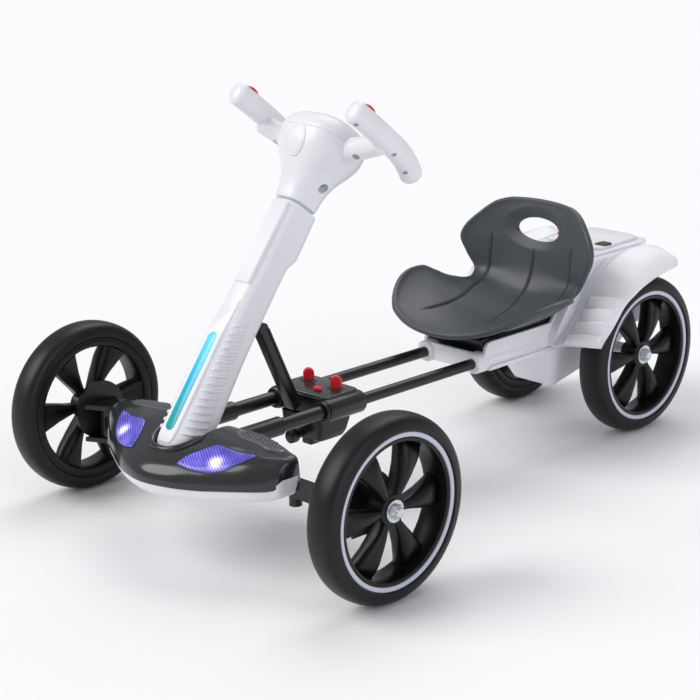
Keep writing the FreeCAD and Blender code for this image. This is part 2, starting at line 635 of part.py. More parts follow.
def strut():
    """A channel from the column's back down to the block's front, groove forwards."""
    top = column_point(0.0, g.strut_pin_along, g.strut_pin_back)
    foot = Vec(0, float(front_axle + g.block_front - 10.0), 140.0)
    along = foot - top
    length = along.Length
    body = doc.addObject("PartDesign::Body", "strut_channel")
    sketch = body_sketch(body, "XY_Plane")
    half = g.strut_width / 2
    deep = g.strut_depth / 2
    draw(sketch, (-half, -deep), (-half + g.strut_wall, -deep), (-half + g.strut_wall, deep - g.strut_wall),
         (half - g.strut_wall, deep - g.strut_wall), (half - g.strut_wall, -deep), (half, -deep),
         (half, deep), (-half, deep))
    pad = body.newObject("PartDesign::Pad", "pad")
    pad.Profile = sketch
    pad.Length = length + 4.0
    turn = math.degrees(math.atan2(along.y, along.z))
    start = top - along * (4.0 / length)
    body.Placement = FreeCAD.Placement(start, FreeCAD.Rotation(Vec(1, 0, 0), -turn))
    boss = cylinder(9.0, g.strut_width, (-half, top.y, top.z), "x")
    bore = cylinder(g.strut_pin_radius + g.axle_running_gap, g.strut_width * 2,
                    (-half * 2, top.y, top.z), "x")
    return node(cut(fuse(body, boss), bore), "strut")


# Steering head with its two arms and the bent grips.
def steering_head():
    top = g.column_length
    wide = g.head_half_width * 2
    sections = (
        (top + g.head_gap, -7.0, g.column_top_width + 10.0, g.column_top_depth + 8.0, 18.0),
        (top + 30.0, -9.0, wide - 28.0, g.head_depth - 26.0, 25.0),
        (top + 64.0, -10.0, wide + 2.0, g.head_depth - 6.0, 34.0),
        (top + 92.0, -10.0, wide + 4.0, g.head_depth - 2.0, 36.0),
        (top + g.head_height, -10.0, wide - 6.0, g.head_depth - 12.0, 34.0),
        (top + g.head_height + 10.0, -10.0, wide - 48.0, g.head_depth - 52.0, 18.0),
    )
    shell = Part.makeLoft([rounded_section(*row) for row in sections], True, True)
    arms = []
    grips = []
    for side in (1, -1):
        start = column_point(side * (float(g.head_half_width) - 12.0), top + 82.0, -8.0)
        stop = column_point(side * float(g.grip_half_spread), top + 97.0, -18.0)
        arm = Part.makeCylinder(float(g.arm_radius), (stop - start).Length, start, stop - start)
        arms.append(arm)
        grips.append(grip(side))
    solid = shell.fuse(arms)
    node(shape(solid), "steering_head")
    for name, side, bar in zip(("left", "right"), (1, -1), grips):
        node(shape(bar.cut(solid)), "grip_" + name)
        button = cylinder_between(column_point(side * float(g.grip_half_spread), top + 103.0, -70.0),
                                  column_point(side * float(g.grip_half_spread), top + 122.0, -70.0), 6.0)
        node(shape(button.cut(bar)), "horn_button_" + name)


def cylinder_between(start, stop, radius):
    return Part.makeCylinder(float(radius), (stop - start).Length, start, stop - start)


def grip(side):
    """A round bar across the column, straight at the top and bent over its lower third."""
    x = side * float(g.grip_half_spread)
    level = float(g.column_length) + 105.0
    top = column_point(x, level, -86.0)
    knee = column_point(x, level, -86.0 + float(g.grip_length) * 0.55)
    end = column_point(x, level - 15.0, -86.0 + float(g.grip_length))
    middle = column_point(x, level - 3.8, -86.0 + float(g.grip_length) * 0.79)
    path = Part.Wire([Part.makeLine(top, knee), Part.Arc(knee, middle, end).toShape()])
    circle = Part.Wire(Part.makeCircle(float(g.grip_radius), top, knee - top))
    return path.makePipeShell([circle], True, True)


# Rear: socketed carrier, body, deck, mudguards and axle.
def carrier():
    pieces = []
    for side in (1, -1):
        x = g.rail_half_gap * side
        pieces.append(cylinder(g.socket_radius, g.carrier_end - g.carrier_start,
                               (x, rear_datum + g.carrier_start, g.rail_height), "y"))
    web = box((-g.rail_half_gap, rear_datum + g.carrier_start + 12.0, g.rail_height - 8.0),
              (g.rail_half_gap * 2, g.carrier_end - g.carrier_start - 12.0, 16.0))
    holes = [cylinder(g.rear_tube_radius, 41.0, (g.rail_half_gap * side, rear_datum + g.carrier_start - 1.0,
                                                 g.rail_height), "y") for side in (1, -1)]
    return node(cut(fuse(web, *pieces), *holes), "seat_carrier")


def side_profile(half_width, corners):
    """A solid with one outline seen from the side, as wide as twice a half width."""
    body = doc.addObject("PartDesign::Body", "side_profile")
    sketch = body_sketch(body, "YZ_Plane")
    draw(sketch, *corners)
    padded(body, sketch, half_width * 2)
    return move(body, (0.0, rear_datum, 0.0))


def rear_body():
    low = g.body_bottom
    deck = g.deck_height
    end = g.body_end
    under = g.rail_height - g.socket_radius
    lower = side_profile(body_half_width, [
        (448.0, under - 8.0), (540.0, low), (690.0, low), (end - 40.0, low + 40.0), (end, low + 110.0),
        (end - 4.0, deck - 22.0), (606.0, deck - 22.0), (590.0, 196.0), (556.0, 160.0), (448.0, 160.0)])
    notch = [cylinder(g.socket_radius, 200.0, (g.rail_half_gap * side, rear_datum + g.carrier_start,
                                               g.rail_height), "y") for side in (1, -1)]
    web = box((-g.rail_half_gap, rear_datum + g.carrier_start, g.rail_height - 8.0),
              (g.rail_half_gap * 2, g.carrier_end - g.carrier_start, 16.0))
    shaft = cylinder(g.axle_shaft_radius + 2.0, body_half_width * 4,
                     (-body_half_width * 2, rear_axle, g.wheel_radius), "x")
    node(cut(lower, *notch, web, shaft), "lower_body")
    deck_solid = side_profile(body_half_width - 2.0, [
        (612.0, deck - 22.0), (end - 4.0, deck - 22.0), (end - 10.0, deck - 6.0), (end - 30.0, deck),
        (640.0, deck), (614.0, deck - 6.0)])
    node(deck_solid, "rear_deck")
    node(box((-30.0, rear_datum + 655.0, deck), (60.0, 70.0, 5.0)), "control_panel")
    node(box((-12.0, rear_datum + 672.0, deck + 5.0), (18.0, 12.0, 4.0)), "power_switch")


# Mudguard sections: degrees above the forward direction about the rear axle, share of the lift.
FENDER_SECTIONS = [(17.5, 0.0), (40.0, 0.12), (65.0, 0.35), (90.0, 0.65), (117.5, 1.0)]


def mudguard(side, name):
    """A flared sheet over one rear wheel, from low in front up and over to the back."""
    centre = Vec(0, float(rear_axle), float(g.wheel_radius))
    root_x = side * float(body_half_width)
    flare_x = side * (float(body_half_width) + 12.0)
    lip_x = side * float(fender_reach)
    root = float(g.fender_inner_radius)
    thick = float(g.fender_thickness)
    wires = []
    for degrees, share in FENDER_SECTIONS:
        angle = math.radians(degrees)
        outwards = Vec(0, -math.cos(angle), math.sin(angle))
        lip = float(g.fender_outer_radius) + float(g.fender_lift) * share
        outline = [(root_x, root), (flare_x, root), (lip_x, lip), (lip_x, lip + thick), (flare_x, root + thick),
                   (root_x, root + thick)]
        wires.append(polygon([centre + Vec(x, 0, 0) + outwards * radius for x, radius in outline]))
    return node(shape(Part.makeLoft(wires, True, True)), "mudguard_" + name)


def rear_axle_shaft():
    pieces = []
    for side in (1, -1):
        pieces += shaft_end(side, rear_axle, g.rear_overall_width, Size(0.0, "0"))
    wheel_inner = g.rear_overall_width / 2 - g.tyre_width
    for side in (1, -1):
        begin = body_half_width if side > 0 else -(wheel_inner + 1.6)
        pieces.append(cylinder(10.0, wheel_inner + 1.6 - body_half_width, (begin, rear_axle, g.wheel_radius), "x"))
    return node(fuse(*pieces), "rear_axle")


# Seat: one curved sheet. Each row holds the middle's place and height, then the edge's half
# width, place and height. Between them the sheet rises by a power of the share across.
SEAT_ROWS = [
    (371.0, 186.0, 88.0, 391.0, 199.0), (385.0, 183.0, 102.0, 404.0, 206.0), (405.0, 180.0, 116.0, 421.0, 215.0),
    (430.0, 178.0, 128.0, 442.0, 224.0), (480.0, 177.0, 139.0, 484.0, 233.0), (505.0, 179.0, 136.0, 505.0, 232.0),
    (528.0, 184.0, 122.0, 516.0, 226.0), (548.0, 192.0, 104.0, 527.0, 218.0), (565.0, 203.0, 94.0, 543.0, 213.0),
    (583.0, 230.0, 97.0, 571.0, 226.0), (591.0, 272.0, 119.0, 565.0, 268.0), (595.0, 292.0, 114.0, 571.0, 286.0),
    (604.0, 326.0, 76.0, 592.0, 322.0), (607.0, 332.0, 52.0, 600.0, 330.0),
]
SEAT_SHARES = (-1.0, -0.9, -0.75, -0.5, 0.0, 0.5, 0.75, 0.9, 1.0)
SEAT_RISE = 2.2
SEAT_DRAWN_HALF_WIDTH = 139.0
HANDLE_HALF_LENGTH = 38.0
HANDLE_HALF_HEIGHT = 16.5
HANDLE_HEIGHT = 290.0


def seat_row(row, shift):
    """The points of one row from the right edge to the left, moved along the way it rises."""
    middle_y, middle_z, half, edge_y, edge_z = row
    scale = float(g.seat_half_width) / SEAT_DRAWN_HALF_WIDTH
    climb = Vec(0, edge_y - middle_y, edge_z - middle_z)
    middle = Vec(0, float(rear_datum) + middle_y, middle_z) + Vec(climb).normalize() * shift
    return [middle + Vec(half * share * scale, 0, 0) + climb * abs(share) ** SEAT_RISE for share in SEAT_SHARES]


def seat_solid(wall):
    """The sheet with half its wall on each side of the drawn surface, measured at its middle."""
    wires = []
    for i, row in enumerate(SEAT_ROWS):
        before = SEAT_ROWS[max(i - 1, 0)]
        after = SEAT_ROWS[min(i + 1, len(SEAT_ROWS) - 1)]
        normal = Vec(0, before[1] - after[1], after[0] - before[0]).normalize()
        climb = Vec(0, row[3] - row[0], row[4] - row[1]).normalize()
        shift = float(wall) / 2 / normal.dot(climb)
        wires.append(polygon(seat_row(row, shift) + seat_row(row, -shift)[::-1]))
    return Part.makeLoft(wires, True, True)


def handle_hole():
    """A long round-ended hole through the seat's back."""
    flat = HANDLE_HALF_LENGTH - HANDLE_HALF_HEIGHT
    start = float(rear_datum) + 560.0
    reach = Vec(0, 90.0, 0)
    ends = [Part.makeCylinder(HANDLE_HALF_HEIGHT, reach.Length, Vec(x, start, HANDLE_HEIGHT), reach)
            for x in (-flat, flat)]
    middle = Part.makeBox(flat * 2, reach.Length, HANDLE_HALF_HEIGHT * 2,
                          Vec(-flat, start, HANDLE_HEIGHT - HANDLE_HALF_HEIGHT))
    return middle.fuse(ends)


def seat():
    solid = seat_solid(g.seat_wall)
    node(shape(solid.cut(handle_hole())), "seat_shell")
    foot = side_profile(body_half_width - 8.0, [
        (440.0, 160.0), (554.0, 160.0), (588.0, 196.0), (604.0, 228.0), (602.0, 262.0), (560.0, 240.0),
        (500.0, 205.0), (440.0, 176.0)])
    ahead = SEAT_ROWS[0][0]
    behind = SEAT_ROWS[-1][0]
    above = SEAT_ROWS[-1][1] * 1.3
    keep_above = side_profile(body_half_width * 2,
                              [row[:2] for row in SEAT_ROWS] + [(behind, above), (ahead, above)])
    room = shape(seat_solid(g.seat_wall + g.seat_gap * 2))
    notch = [cylinder(g.socket_radius, 200.0, (g.rail_half_gap * s, rear_datum + g.carrier_start,
                                               g.rail_height), "y") for s in (1, -1)]
    return node(cut(foot, keep_above, room, *notch), "seat_bracket")


wheels()
front_axle_beam()
for name, side in (("left", 1), ("right", -1)):
    knuckle(side, name)
    mudguard(side, name)
tie_rod()
pod()
rails()
clamp_block()
column()
strut()
steering_head()
carrier()
rear_body()
rear_axle_shaft()
seat()
doc.recompute()

failed = [obj.Label for obj in doc.Objects if {"Invalid", "Error"} & set(obj.State)]
if failed:
    raise RuntimeError("not built: " + ", ".join(failed))
os.makedirs("parts", exist_ok=True)
for obj in NODES:
    if obj.Shape.isNull() or not obj.Shape.isValid() or not obj.Shape.Solids:
        raise RuntimeError("no valid solid: " + obj.Label)
for obj in NODES:
    obj.Shape.exportStep("parts/" + obj.Label + ".step")
    print(obj.Label, len(obj.Shape.Solids), round(obj.Shape.Volume / 1000.0, 1), "cm3")
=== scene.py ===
# %% [markdown]
# A child's ride-on electric go-kart, dressed for a studio picture. The measured model comes first,
# as a fixed frame. Each visible piece is then given its finish, and the moulded plastic pieces,
# whose shape is all soft curves, are modelled again as smooth meshes in the same place.

# %% Load the frame
import math

import bmesh
import bpy
import numpy as np
from mathutils import Matrix, Vector
from mathutils.bvhtree import BVHTree


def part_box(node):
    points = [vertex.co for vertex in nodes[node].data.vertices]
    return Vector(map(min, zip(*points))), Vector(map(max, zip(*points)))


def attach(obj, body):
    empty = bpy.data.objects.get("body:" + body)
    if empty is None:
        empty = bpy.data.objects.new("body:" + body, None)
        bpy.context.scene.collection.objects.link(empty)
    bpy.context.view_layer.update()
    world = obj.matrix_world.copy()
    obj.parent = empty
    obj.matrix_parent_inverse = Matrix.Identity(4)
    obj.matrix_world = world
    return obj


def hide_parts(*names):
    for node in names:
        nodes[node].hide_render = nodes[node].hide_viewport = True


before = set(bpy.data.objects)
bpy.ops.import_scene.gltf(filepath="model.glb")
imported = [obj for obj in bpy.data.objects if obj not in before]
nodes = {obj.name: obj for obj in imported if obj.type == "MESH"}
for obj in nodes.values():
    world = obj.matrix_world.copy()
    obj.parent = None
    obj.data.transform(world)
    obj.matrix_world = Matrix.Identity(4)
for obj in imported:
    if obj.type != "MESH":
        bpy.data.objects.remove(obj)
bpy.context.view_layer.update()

# %% [markdown]
# All sizes below are millimetres measured from one place: the floor under the middle of the front
# axle, with y towards the back and x towards the kart's left. The front axle itself is read from
# the frame, so the pieces follow it.

# %% Places on the kart
MM = 0.001
tyre_low, tyre_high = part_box("tyre_front_left")
FRONT_AXLE = (tyre_low.y + tyre_high.y) / 2
rear_low, rear_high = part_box("tyre_rear_left")
WHEELBASE = ((rear_low.y + rear_high.y) / 2 - FRONT_AXLE) / MM
WHEEL_RADIUS = (tyre_high.z - tyre_low.z) / 2 / MM


def kart(x, y, z):
    """A place given in millimetres from the front axle's line on the floor."""
    return Vector((x * MM, FRONT_AXLE + y * MM, z * MM))


LEAN = math.radians(36.87)
COLUMN_PIVOT = (-62.0, 140.0)


def on_column(x, along, back):
    """A place across, along and behind the leaning steering column."""
    y = COLUMN_PIVOT[0] + along * math.sin(LEAN) + back * math.cos(LEAN)
    z = COLUMN_PIVOT[1] + along * math.cos(LEAN) - back * math.sin(LEAN)
    return kart(x, y, z)


print("wheelbase", round(WHEELBASE, 1), "wheel radius", round(WHEEL_RADIUS, 1))

# %% [markdown]
# The camera comes before any shape, because the picture decides how fine each piece has to be. It
# stands in front and to the kart's left, about waist high, with a long lens that keeps the wheels
# from looking stretched.

# %% Camera
CAMERA_PLACE = (1679.3, -1467.7, 903.0)
CAMERA_AZIMUTH = math.radians(44.883)
CAMERA_ELEVATION = math.radians(16.558)
CAMERA_ROLL = math.radians(-0.442)

towards_camera = Vector((math.sin(CAMERA_AZIMUTH) * math.cos(CAMERA_ELEVATION),
                         -math.cos(CAMERA_AZIMUTH) * math.cos(CAMERA_ELEVATION),
                         math.sin(CAMERA_ELEVATION)))
camera_right = (-towards_camera).cross(Vector((0, 0, 1))).normalized()
camera_up = camera_right.cross(-towards_camera)
rolled_right = camera_right * math.cos(CAMERA_ROLL) + camera_up * math.sin(CAMERA_ROLL)
rolled_up = camera_up * math.cos(CAMERA_ROLL) - camera_right * math.sin(CAMERA_ROLL)
camera_data = bpy.data.cameras.new("camera")
camera_data.lens = 99.14
camera_data.sensor_width = 36.0
camera_data.clip_end = 60.0
camera = bpy.data.objects.new("camera", camera_data)
bpy.context.scene.collection.objects.link(camera)
camera.rotation_mode = "QUATERNION"
camera.location = kart(*CAMERA_PLACE)
camera.rotation_quaternion = Matrix((rolled_right, rolled_up, towards_camera)).transposed().to_quaternion()
bpy.context.scene.camera = camera
print("camera", [round(v, 3) for v in camera.location], "lens", camera_data.lens)

# %% [markdown]
# Every finish needs the same three things: a colour that is read off a screen and turned to the
# linear one that a shader expects, a short way to add a node, and an empty material to start
# from. Three small functions keep the materials below short enough to read.

# %% Helpers for finishes
def linear(hex_colour):
    """A screen colour such as "#4b4e52" as the linear colour that a shader expects."""
    channels = [int(hex_colour[i:i + 2], 16) / 255 for i in (1, 3, 5)]
    straight = [c / 12.92 if c <= 0.04045 else ((c + 0.055) / 1.055) ** 2.4 for c in channels]
    return (*straight, 1.0)


def add_node(tree, kind, inputs=None, **settings):
    """Add a node, set its values and join its sockets."""
    node = tree.nodes.new(kind)
    for name, value in settings.items():
        setattr(node, name, value)
    for name, value in (inputs or {}).items():
        socket = node.inputs[name]
        if isinstance(value, bpy.types.NodeSocket):
            tree.links.new(value, socket)
        else:
            socket.default_value = value
    return node


def new_material(name):
    """An empty material with its tree, its shader and its Object coordinates in metres."""
    material = bpy.data.materials.new(name)
    material.use_nodes = True
    tree = material.node_tree
    shader = tree.nodes["Principled BSDF"]
    place = add_node(tree, "ShaderNodeTexCoord").outputs["Object"]
    return material, tree, shader, place


# The later cells print what they make, so a helper's cell prints a value that it gives.
print("mid grey in linear light", round(linear("#808080")[0], 4))

# %% [markdown]
# The stage is a pale seamless floor under a soft studio sky. It could have area lamps close by, but
# light from far away leaves no dark corners on a wide floor, so three broad suns stand for large
# soft boxes. The key comes over the nose from the kart's right, so the column's front and the tyre
# crowns catch it, and the side that faces the camera falls a little darker, which shows the form.

# %% Lamps and air
def soft_sun(name, towards, strength, spread, colour):
    """A broad lamp far away in one direction, given as the way from the kart to the lamp."""
    data = bpy.data.lights.new(name, "SUN")
    data.energy = strength
    data.angle = math.radians(spread)
    data.color = linear(colour)[:3]
    lamp = bpy.data.objects.new(name, data)
    bpy.context.scene.collection.objects.link(lamp)
    lamp.rotation_mode = "QUATERNION"
    lamp.rotation_quaternion = Vector(towards).to_track_quat("Z", "Y")


soft_sun("key_lamp", (-0.55, -0.75, 0.80), 1.7, 40, "#fffefc")
soft_sun("side_lamp", (0.95, -0.10, 0.45), 0.72, 50, "#f7f7fd")
soft_sun("top_lamp", (-0.25, 0.55, 0.85), 0.95, 45, "#ffffff")

world = bpy.data.worlds.new("studio_air")
world.use_nodes = True
world.node_tree.nodes["Background"].inputs["Color"].default_value = linear("#f8f8fb")
world.node_tree.nodes["Background"].inputs["Strength"].default_value = 0.42
bpy.context.scene.world = world
bpy.context.scene.view_settings.view_transform = "Standard"
print("lamps", len(bpy.data.lights))

# %% Floor
FLOOR_HALF = 60.0
floor_mesh = bpy.data.meshes.new("floor")
floor_mesh.from_pydata([(-FLOOR_HALF, -FLOOR_HALF, 0), (FLOOR_HALF, -FLOOR_HALF, 0),
                        (FLOOR_HALF, FLOOR_HALF, 0), (-FLOOR_HALF, FLOOR_HALF, 0)], [], [(0, 1, 2, 3)])
floor = bpy.data.objects.new("floor", floor_mesh)
bpy.context.scene.collection.objects.link(floor)
floor_paper, tree, shader, place = new_material("seamless_paper")
speckle = add_node(tree, "ShaderNodeTexNoise", {"Vector": place, "Scale": 900.0, "Detail": 2.0})
tone = add_node(tree, "ShaderNodeValToRGB", {"Fac": speckle.outputs["Fac"]})
tone.color_ramp.elements[0].color = linear("#f1f1f3")
tone.color_ramp.elements[1].color = linear("#f7f7f9")
tree.links.new(tone.outputs["Color"], shader.inputs["Base Color"])
shader.inputs["Roughness"].default_value = 0.85
floor_mesh.materials.append(floor_paper)
print("floor", 2 * FLOOR_HALF, "m wide")

# %% [markdown]
# Moulded plastic is never one flat colour: the tool leaves a fine grain, the melt leaves slow
# waves in the gloss, and handling leaves some spots duller than others. Each could be a material
# of its own, but they differ only in a few numbers. One function makes the whole family, from the
# real size of the grain in millimetres, the depth of that grain and the gloss.

# %% Moulded finishes
def moulded(name, colour, shade, roughness, grain_mm, grain_depth, gloss_coat=0.0, wave_mm=60.0, shine=0.5):
    """Plastic from a tool: two close tones, an uneven gloss and a grain of a real size."""
    material, tree, shader, place = new_material(name)
    slow = add_node(tree, "ShaderNodeTexNoise",
                    {"Vector": place, "Scale": 1 / (wave_mm * MM), "Detail": 3.0})
    tone = add_node(tree, "ShaderNodeValToRGB", {"Fac": slow.outputs["Fac"]})
    tone.color_ramp.elements[0].position = 0.3
    tone.color_ramp.elements[0].color = linear(shade)
    tone.color_ramp.elements[1].position = 0.7
    tone.color_ramp.elements[1].color = linear(colour)
    gloss = add_node(tree, "ShaderNodeMapRange",
                     {"Value": slow.outputs["Fac"], "From Min": 0.3, "From Max": 0.7,
                      "To Min": roughness * 0.88, "To Max": roughness * 1.12})
    grain = add_node(tree, "ShaderNodeTexNoise",
                     {"Vector": place, "Scale": 1 / (grain_mm * MM), "Detail": 2.0})
    bump = add_node(tree, "ShaderNodeBump", {"Height": grain.outputs["Fac"], "Distance": grain_depth * MM,
                                             "Strength": 0.5})
    tree.links.new(tone.outputs["Color"], shader.inputs["Base Color"])
    tree.links.new(gloss.outputs["Result"], shader.inputs["Roughness"])
    tree.links.new(bump.outputs["Normal"], shader.inputs["Normal"])
    shader.inputs["IOR"].default_value = 1.5
    shader.inputs["Coat Weight"].default_value = gloss_coat
    shader.inputs["Coat Roughness"].default_value = 0.06
    shader.inputs["Specular IOR Level"].default_value = shine
    return material


print("a grain of 1 mm needs a noise scale of", round(1 / MM))

# %% Plastics, foam and paint
# White ABS, injection moulded in a polished tool: a cool white with soft, wide highlights.
white_abs = moulded("white_abs", "#eaebef", "#e5e6ea", 0.30, 1.4, 0.05)
# Charcoal ABS with a clear gloss: deep grey with sharp reflections of the lamps.
charcoal_abs = moulded("charcoal_gloss_abs", "#282b2e", "#232628", 0.19, 1.2, 0.03, gloss_coat=0.3,
                       shine=0.42)
# Polypropylene seat: satin, with a fine spark-eroded grain, drawn a little coarse to show.
seat_polypropylene = moulded("seat_polypropylene", "#43474c", "#3d4146", 0.42, 1.1, 0.16)
# EVA foam, moulded: a soft satin black whose highlights are broad and dim.
eva_tyre = moulded("eva_tyre", "#101012", "#0d0d0f", 0.42, 1.0, 0.10, shine=0.32)
# Black nylon, moulded: a little glossier than the tyre, so the blades stand off from it.
black_nylon = moulded("black_nylon", "#0c0c0e", "#09090b", 0.34, 1.0, 0.06, shine=0.3)
# Lavender-grey ABS of the rim ring: pale and even, almost without gloss.
grey_abs = moulded("lavender_grey_abs", "#c9cbdb", "#c2c4d6", 0.42, 1.0, 0.05)
# Steel with a black powder coat: its orange peel, 2 mm wide, breaks up the highlight on a tube.
powder_coat = moulded("black_powder_coat", "#161619", "#121214", 0.32, 2.0, 0.10)
# Black ABS for clamps and brackets: satin, with one clean highlight on each bevel.
black_abs = moulded("black_abs", "#17171a", "#131315", 0.30, 1.2, 0.08)
# ABS of the footrest in a paler grey than the pod, a painted highlight: its studs glint against the darker
# pod.
studs_painted_glint = moulded("footrest_studs_painted_glint", "#5a5d60", "#4c4f52", 0.24, 1.0, 0.05, gloss_coat=0.4)
# Red ABS for levers and buttons: saturated and glossy, so they are found at once.
red_abs = moulded("red_abs", "#d8202c", "#cc1a26", 0.28, 1.0, 0.04)
# Dull near-black sheets in the clamp's slots: painted shade, so the slots read as dark holes.
slot_painted_shade = moulded("slot_painted_shade", "#1b1b1d", "#161617", 0.6, 0.8, 0.10)
print("moulded and painted finishes from", white_abs.name, "to", slot_painted_shade.name)

# %% [markdown]
# Zinc-plated fasteners are metal, so they are mirrors with a slight blue cast. The plating dries
# in fine clouds, brighter here and duller there. A noise of about 4 mm drives both the tone and
# the gloss, which is enough for parts this small.

# %% Zinc plate
def zinc():
    """Zinc plate: metal all over, with a cloudy tone and gloss."""
    material, tree, shader, place = new_material("zinc_plate")
    cloud = add_node(tree, "ShaderNodeTexNoise", {"Vector": place, "Scale": 260.0, "Detail": 4.0})
    tone = add_node(tree, "ShaderNodeValToRGB", {"Fac": cloud.outputs["Fac"]})
    tone.color_ramp.elements[0].color = linear("#b9bcc4")
    tone.color_ramp.elements[1].color = linear("#e4e6ea")
    gloss = add_node(tree, "ShaderNodeMapRange",
                     {"Value": cloud.outputs["Fac"], "To Min": 0.18, "To Max": 0.36})
    tree.links.new(tone.outputs["Color"], shader.inputs["Base Color"])
    tree.links.new(gloss.outputs["Result"], shader.inputs["Roughness"])
    shader.inputs["Metallic"].default_value = 1.0
    return material


zinc_plate = zinc()
print("finish", zinc_plate.name)

# %% [markdown]
# Two finishes give light. The light bar is a milky tube over a row of diodes: cyan at the top,
# fading to teal at the foot, so its colour follows the height in Object coordinates. The lamps are
# fluted lenses with violet light behind them. Real lamps inside the glass would need a hollow and
# many samples, so both surfaces glow by themselves instead, with their pattern in the glow.

# %% Light bar
def light_bar():
    """A diffuser that glows from teal at the foot to cyan at the top."""
    material, tree, shader, place = new_material("cyan_light_bar")
    height = add_node(tree, "ShaderNodeSeparateXYZ", {"Vector": place}).outputs["Z"]
    low = on_column(0, 5, -34).z
    high = on_column(0, 129, -34).z
    share = add_node(tree, "ShaderNodeMapRange", {"Value": height, "From Min": low, "From Max": high})
    tone = add_node(tree, "ShaderNodeValToRGB", {"Fac": share.outputs["Result"]})
    tone.color_ramp.elements[0].color = linear("#128f8a")
    tone.color_ramp.elements[1].color = linear("#5ec9e8")
    middle = tone.color_ramp.elements.new(0.55)
    middle.color = linear("#17a6c8")
    tree.links.new(tone.outputs["Color"], shader.inputs["Base Color"])
    tree.links.new(tone.outputs["Color"], shader.inputs["Emission Color"])
    shader.inputs["Emission Strength"].default_value = 0.3
    shader.inputs["Roughness"].default_value = 0.2
    return material


cyan_light_bar = light_bar()
print("finish", cyan_light_bar.name)


# %% Lamp glass
def lamp_glass():
    """A fluted lens with violet light behind it and one bright diode on each side."""
    material, tree, shader, place = new_material("violet_lamp_glass")
    flutes = add_node(tree, "ShaderNodeTexWave",
                      {"Vector": place, "Scale": 120.0, "Distortion": 1.6, "Detail": 1.0,
                       "Detail Scale": 30.0}, bands_direction="DIAGONAL")
    glow = add_node(tree, "ShaderNodeTexNoise", {"Vector": place, "Scale": 46.0, "Detail": 1.0})
    parts = add_node(tree, "ShaderNodeSeparateXYZ", {"Vector": place})
    half = add_node(tree, "ShaderNodeMath", {0: parts.outputs["X"]}, operation="ABSOLUTE")
    folded = add_node(tree, "ShaderNodeCombineXYZ",
                      {"X": half.outputs[0], "Y": parts.outputs["Y"], "Z": parts.outputs["Z"]})
    diode = kart(84, -88, 143)
    away = add_node(tree, "ShaderNodeVectorMath", {0: folded.outputs[0], 1: diode}, operation="DISTANCE")
    spot = add_node(tree, "ShaderNodeMapRange",
                    {"Value": away.outputs["Value"], "From Min": 0.001, "From Max": 0.015,
                     "To Min": 0.5, "To Max": 0.0},
                    interpolation_type="SMOOTHSTEP")
    striped = add_node(tree, "ShaderNodeMath", {0: flutes.outputs["Fac"], 1: 0.26}, operation="MULTIPLY")
    cloudy = add_node(tree, "ShaderNodeMath", {0: glow.outputs["Fac"], 1: 0.55}, operation="MULTIPLY")
    both = add_node(tree, "ShaderNodeMath", {0: striped.outputs[0], 1: cloudy.outputs[0]}, operation="ADD")
    total = add_node(tree, "ShaderNodeMath", {0: both.outputs[0], 1: spot.outputs["Result"]},
                     operation="ADD")
    tone = add_node(tree, "ShaderNodeValToRGB", {"Fac": total.outputs[0]})
    tone.color_ramp.elements[0].position = 0.22
    tone.color_ramp.elements[0].color = linear("#2a2478")
    tone.color_ramp.elements[1].position = 0.98
    tone.color_ramp.elements[1].color = linear("#f6f4ff")
    low_glow = tone.color_ramp.elements.new(0.46)
    low_glow.color = linear("#5148c8")
    high_glow = tone.color_ramp.elements.new(0.68)
    high_glow.color = linear("#8f86f4")
    bump = add_node(tree, "ShaderNodeBump",
                    {"Height": flutes.outputs["Fac"], "Distance": 0.4 * MM, "Strength": 0.7})
    tree.links.new(tone.outputs["Color"], shader.inputs["Base Color"])
    tree.links.new(tone.outputs["Color"], shader.inputs["Emission Color"])
    tree.links.new(bump.outputs["Normal"], shader.inputs["Normal"])
    shader.inputs["Emission Strength"].default_value = 0.42
    shader.inputs["Roughness"].default_value = 0.12
    shader.inputs["Coat Weight"].default_value = 0.8
    return material


violet_lamp_glass = lamp_glass()
print("finish", violet_lamp_glass.name)

# %% [markdown]
# Every moulded piece is a skin over closed rings of points, or a grid of points on a surface. It
# could be sculpted or subdivided from a box, but rows of numbers in millimetres can be set against
# the real thing. The helpers below turn such rows into a mesh, close its ends, weld it, and hand it
# to the body that carries it.

# %% Mesh helpers
# Points of a piece that lie closer than this are welded.
WELD_GAP = 0.00002


def piece(name, points, faces, material, body, stands_for=(), slot=None, sharp=40.0):
    """A finished piece from points and faces: welded, facing outwards, smooth and riding on its body."""
    mesh = bpy.data.meshes.new(name)
    mesh.from_pydata([tuple(p) for p in points], [], faces)
    work = bmesh.new()
    work.from_mesh(mesh)
    bmesh.ops.remove_doubles(work, verts=work.verts, dist=WELD_GAP)
    bmesh.ops.recalc_face_normals(work, faces=work.faces)
    work.to_mesh(mesh)
    work.free()
    return dress(name, mesh, material, body, stands_for, sharp)


def dress(name, mesh, material, body, stands_for=(), sharp=40.0):
    """Give a mesh its finish and seat it on the body that carries it."""
    mesh.shade_smooth()
    mesh.set_sharp_from_angle(angle=math.radians(sharp))
    mesh.materials.clear()
    mesh.materials.append(material)
    made = bpy.data.objects.new(name, mesh)
    bpy.context.scene.collection.objects.link(made)
    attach(made, body)
    if stands_for:
        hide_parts(*stands_for)
    return made


print("points closer than", round(WELD_GAP / MM, 3), "mm are welded")


# %% Rings and rows
def skin(rings, joined=False):
    """Points and faces over a row of closed rings of the same count."""
    count = len(rings[0])
    points = [p for ring in rings for p in ring]
    faces = []
    last = len(rings) if joined else len(rings) - 1
    for row in range(last):
        here = row * count
        there = (row + 1) % len(rings) * count
        for i in range(count):
            j = (i + 1) % count
            faces.append((here + i, here + j, there + j, there + i))
    if not joined:
        faces.append(tuple(reversed(range(count))))
        faces.append(tuple(range(len(points) - count, len(points))))
    return points, faces


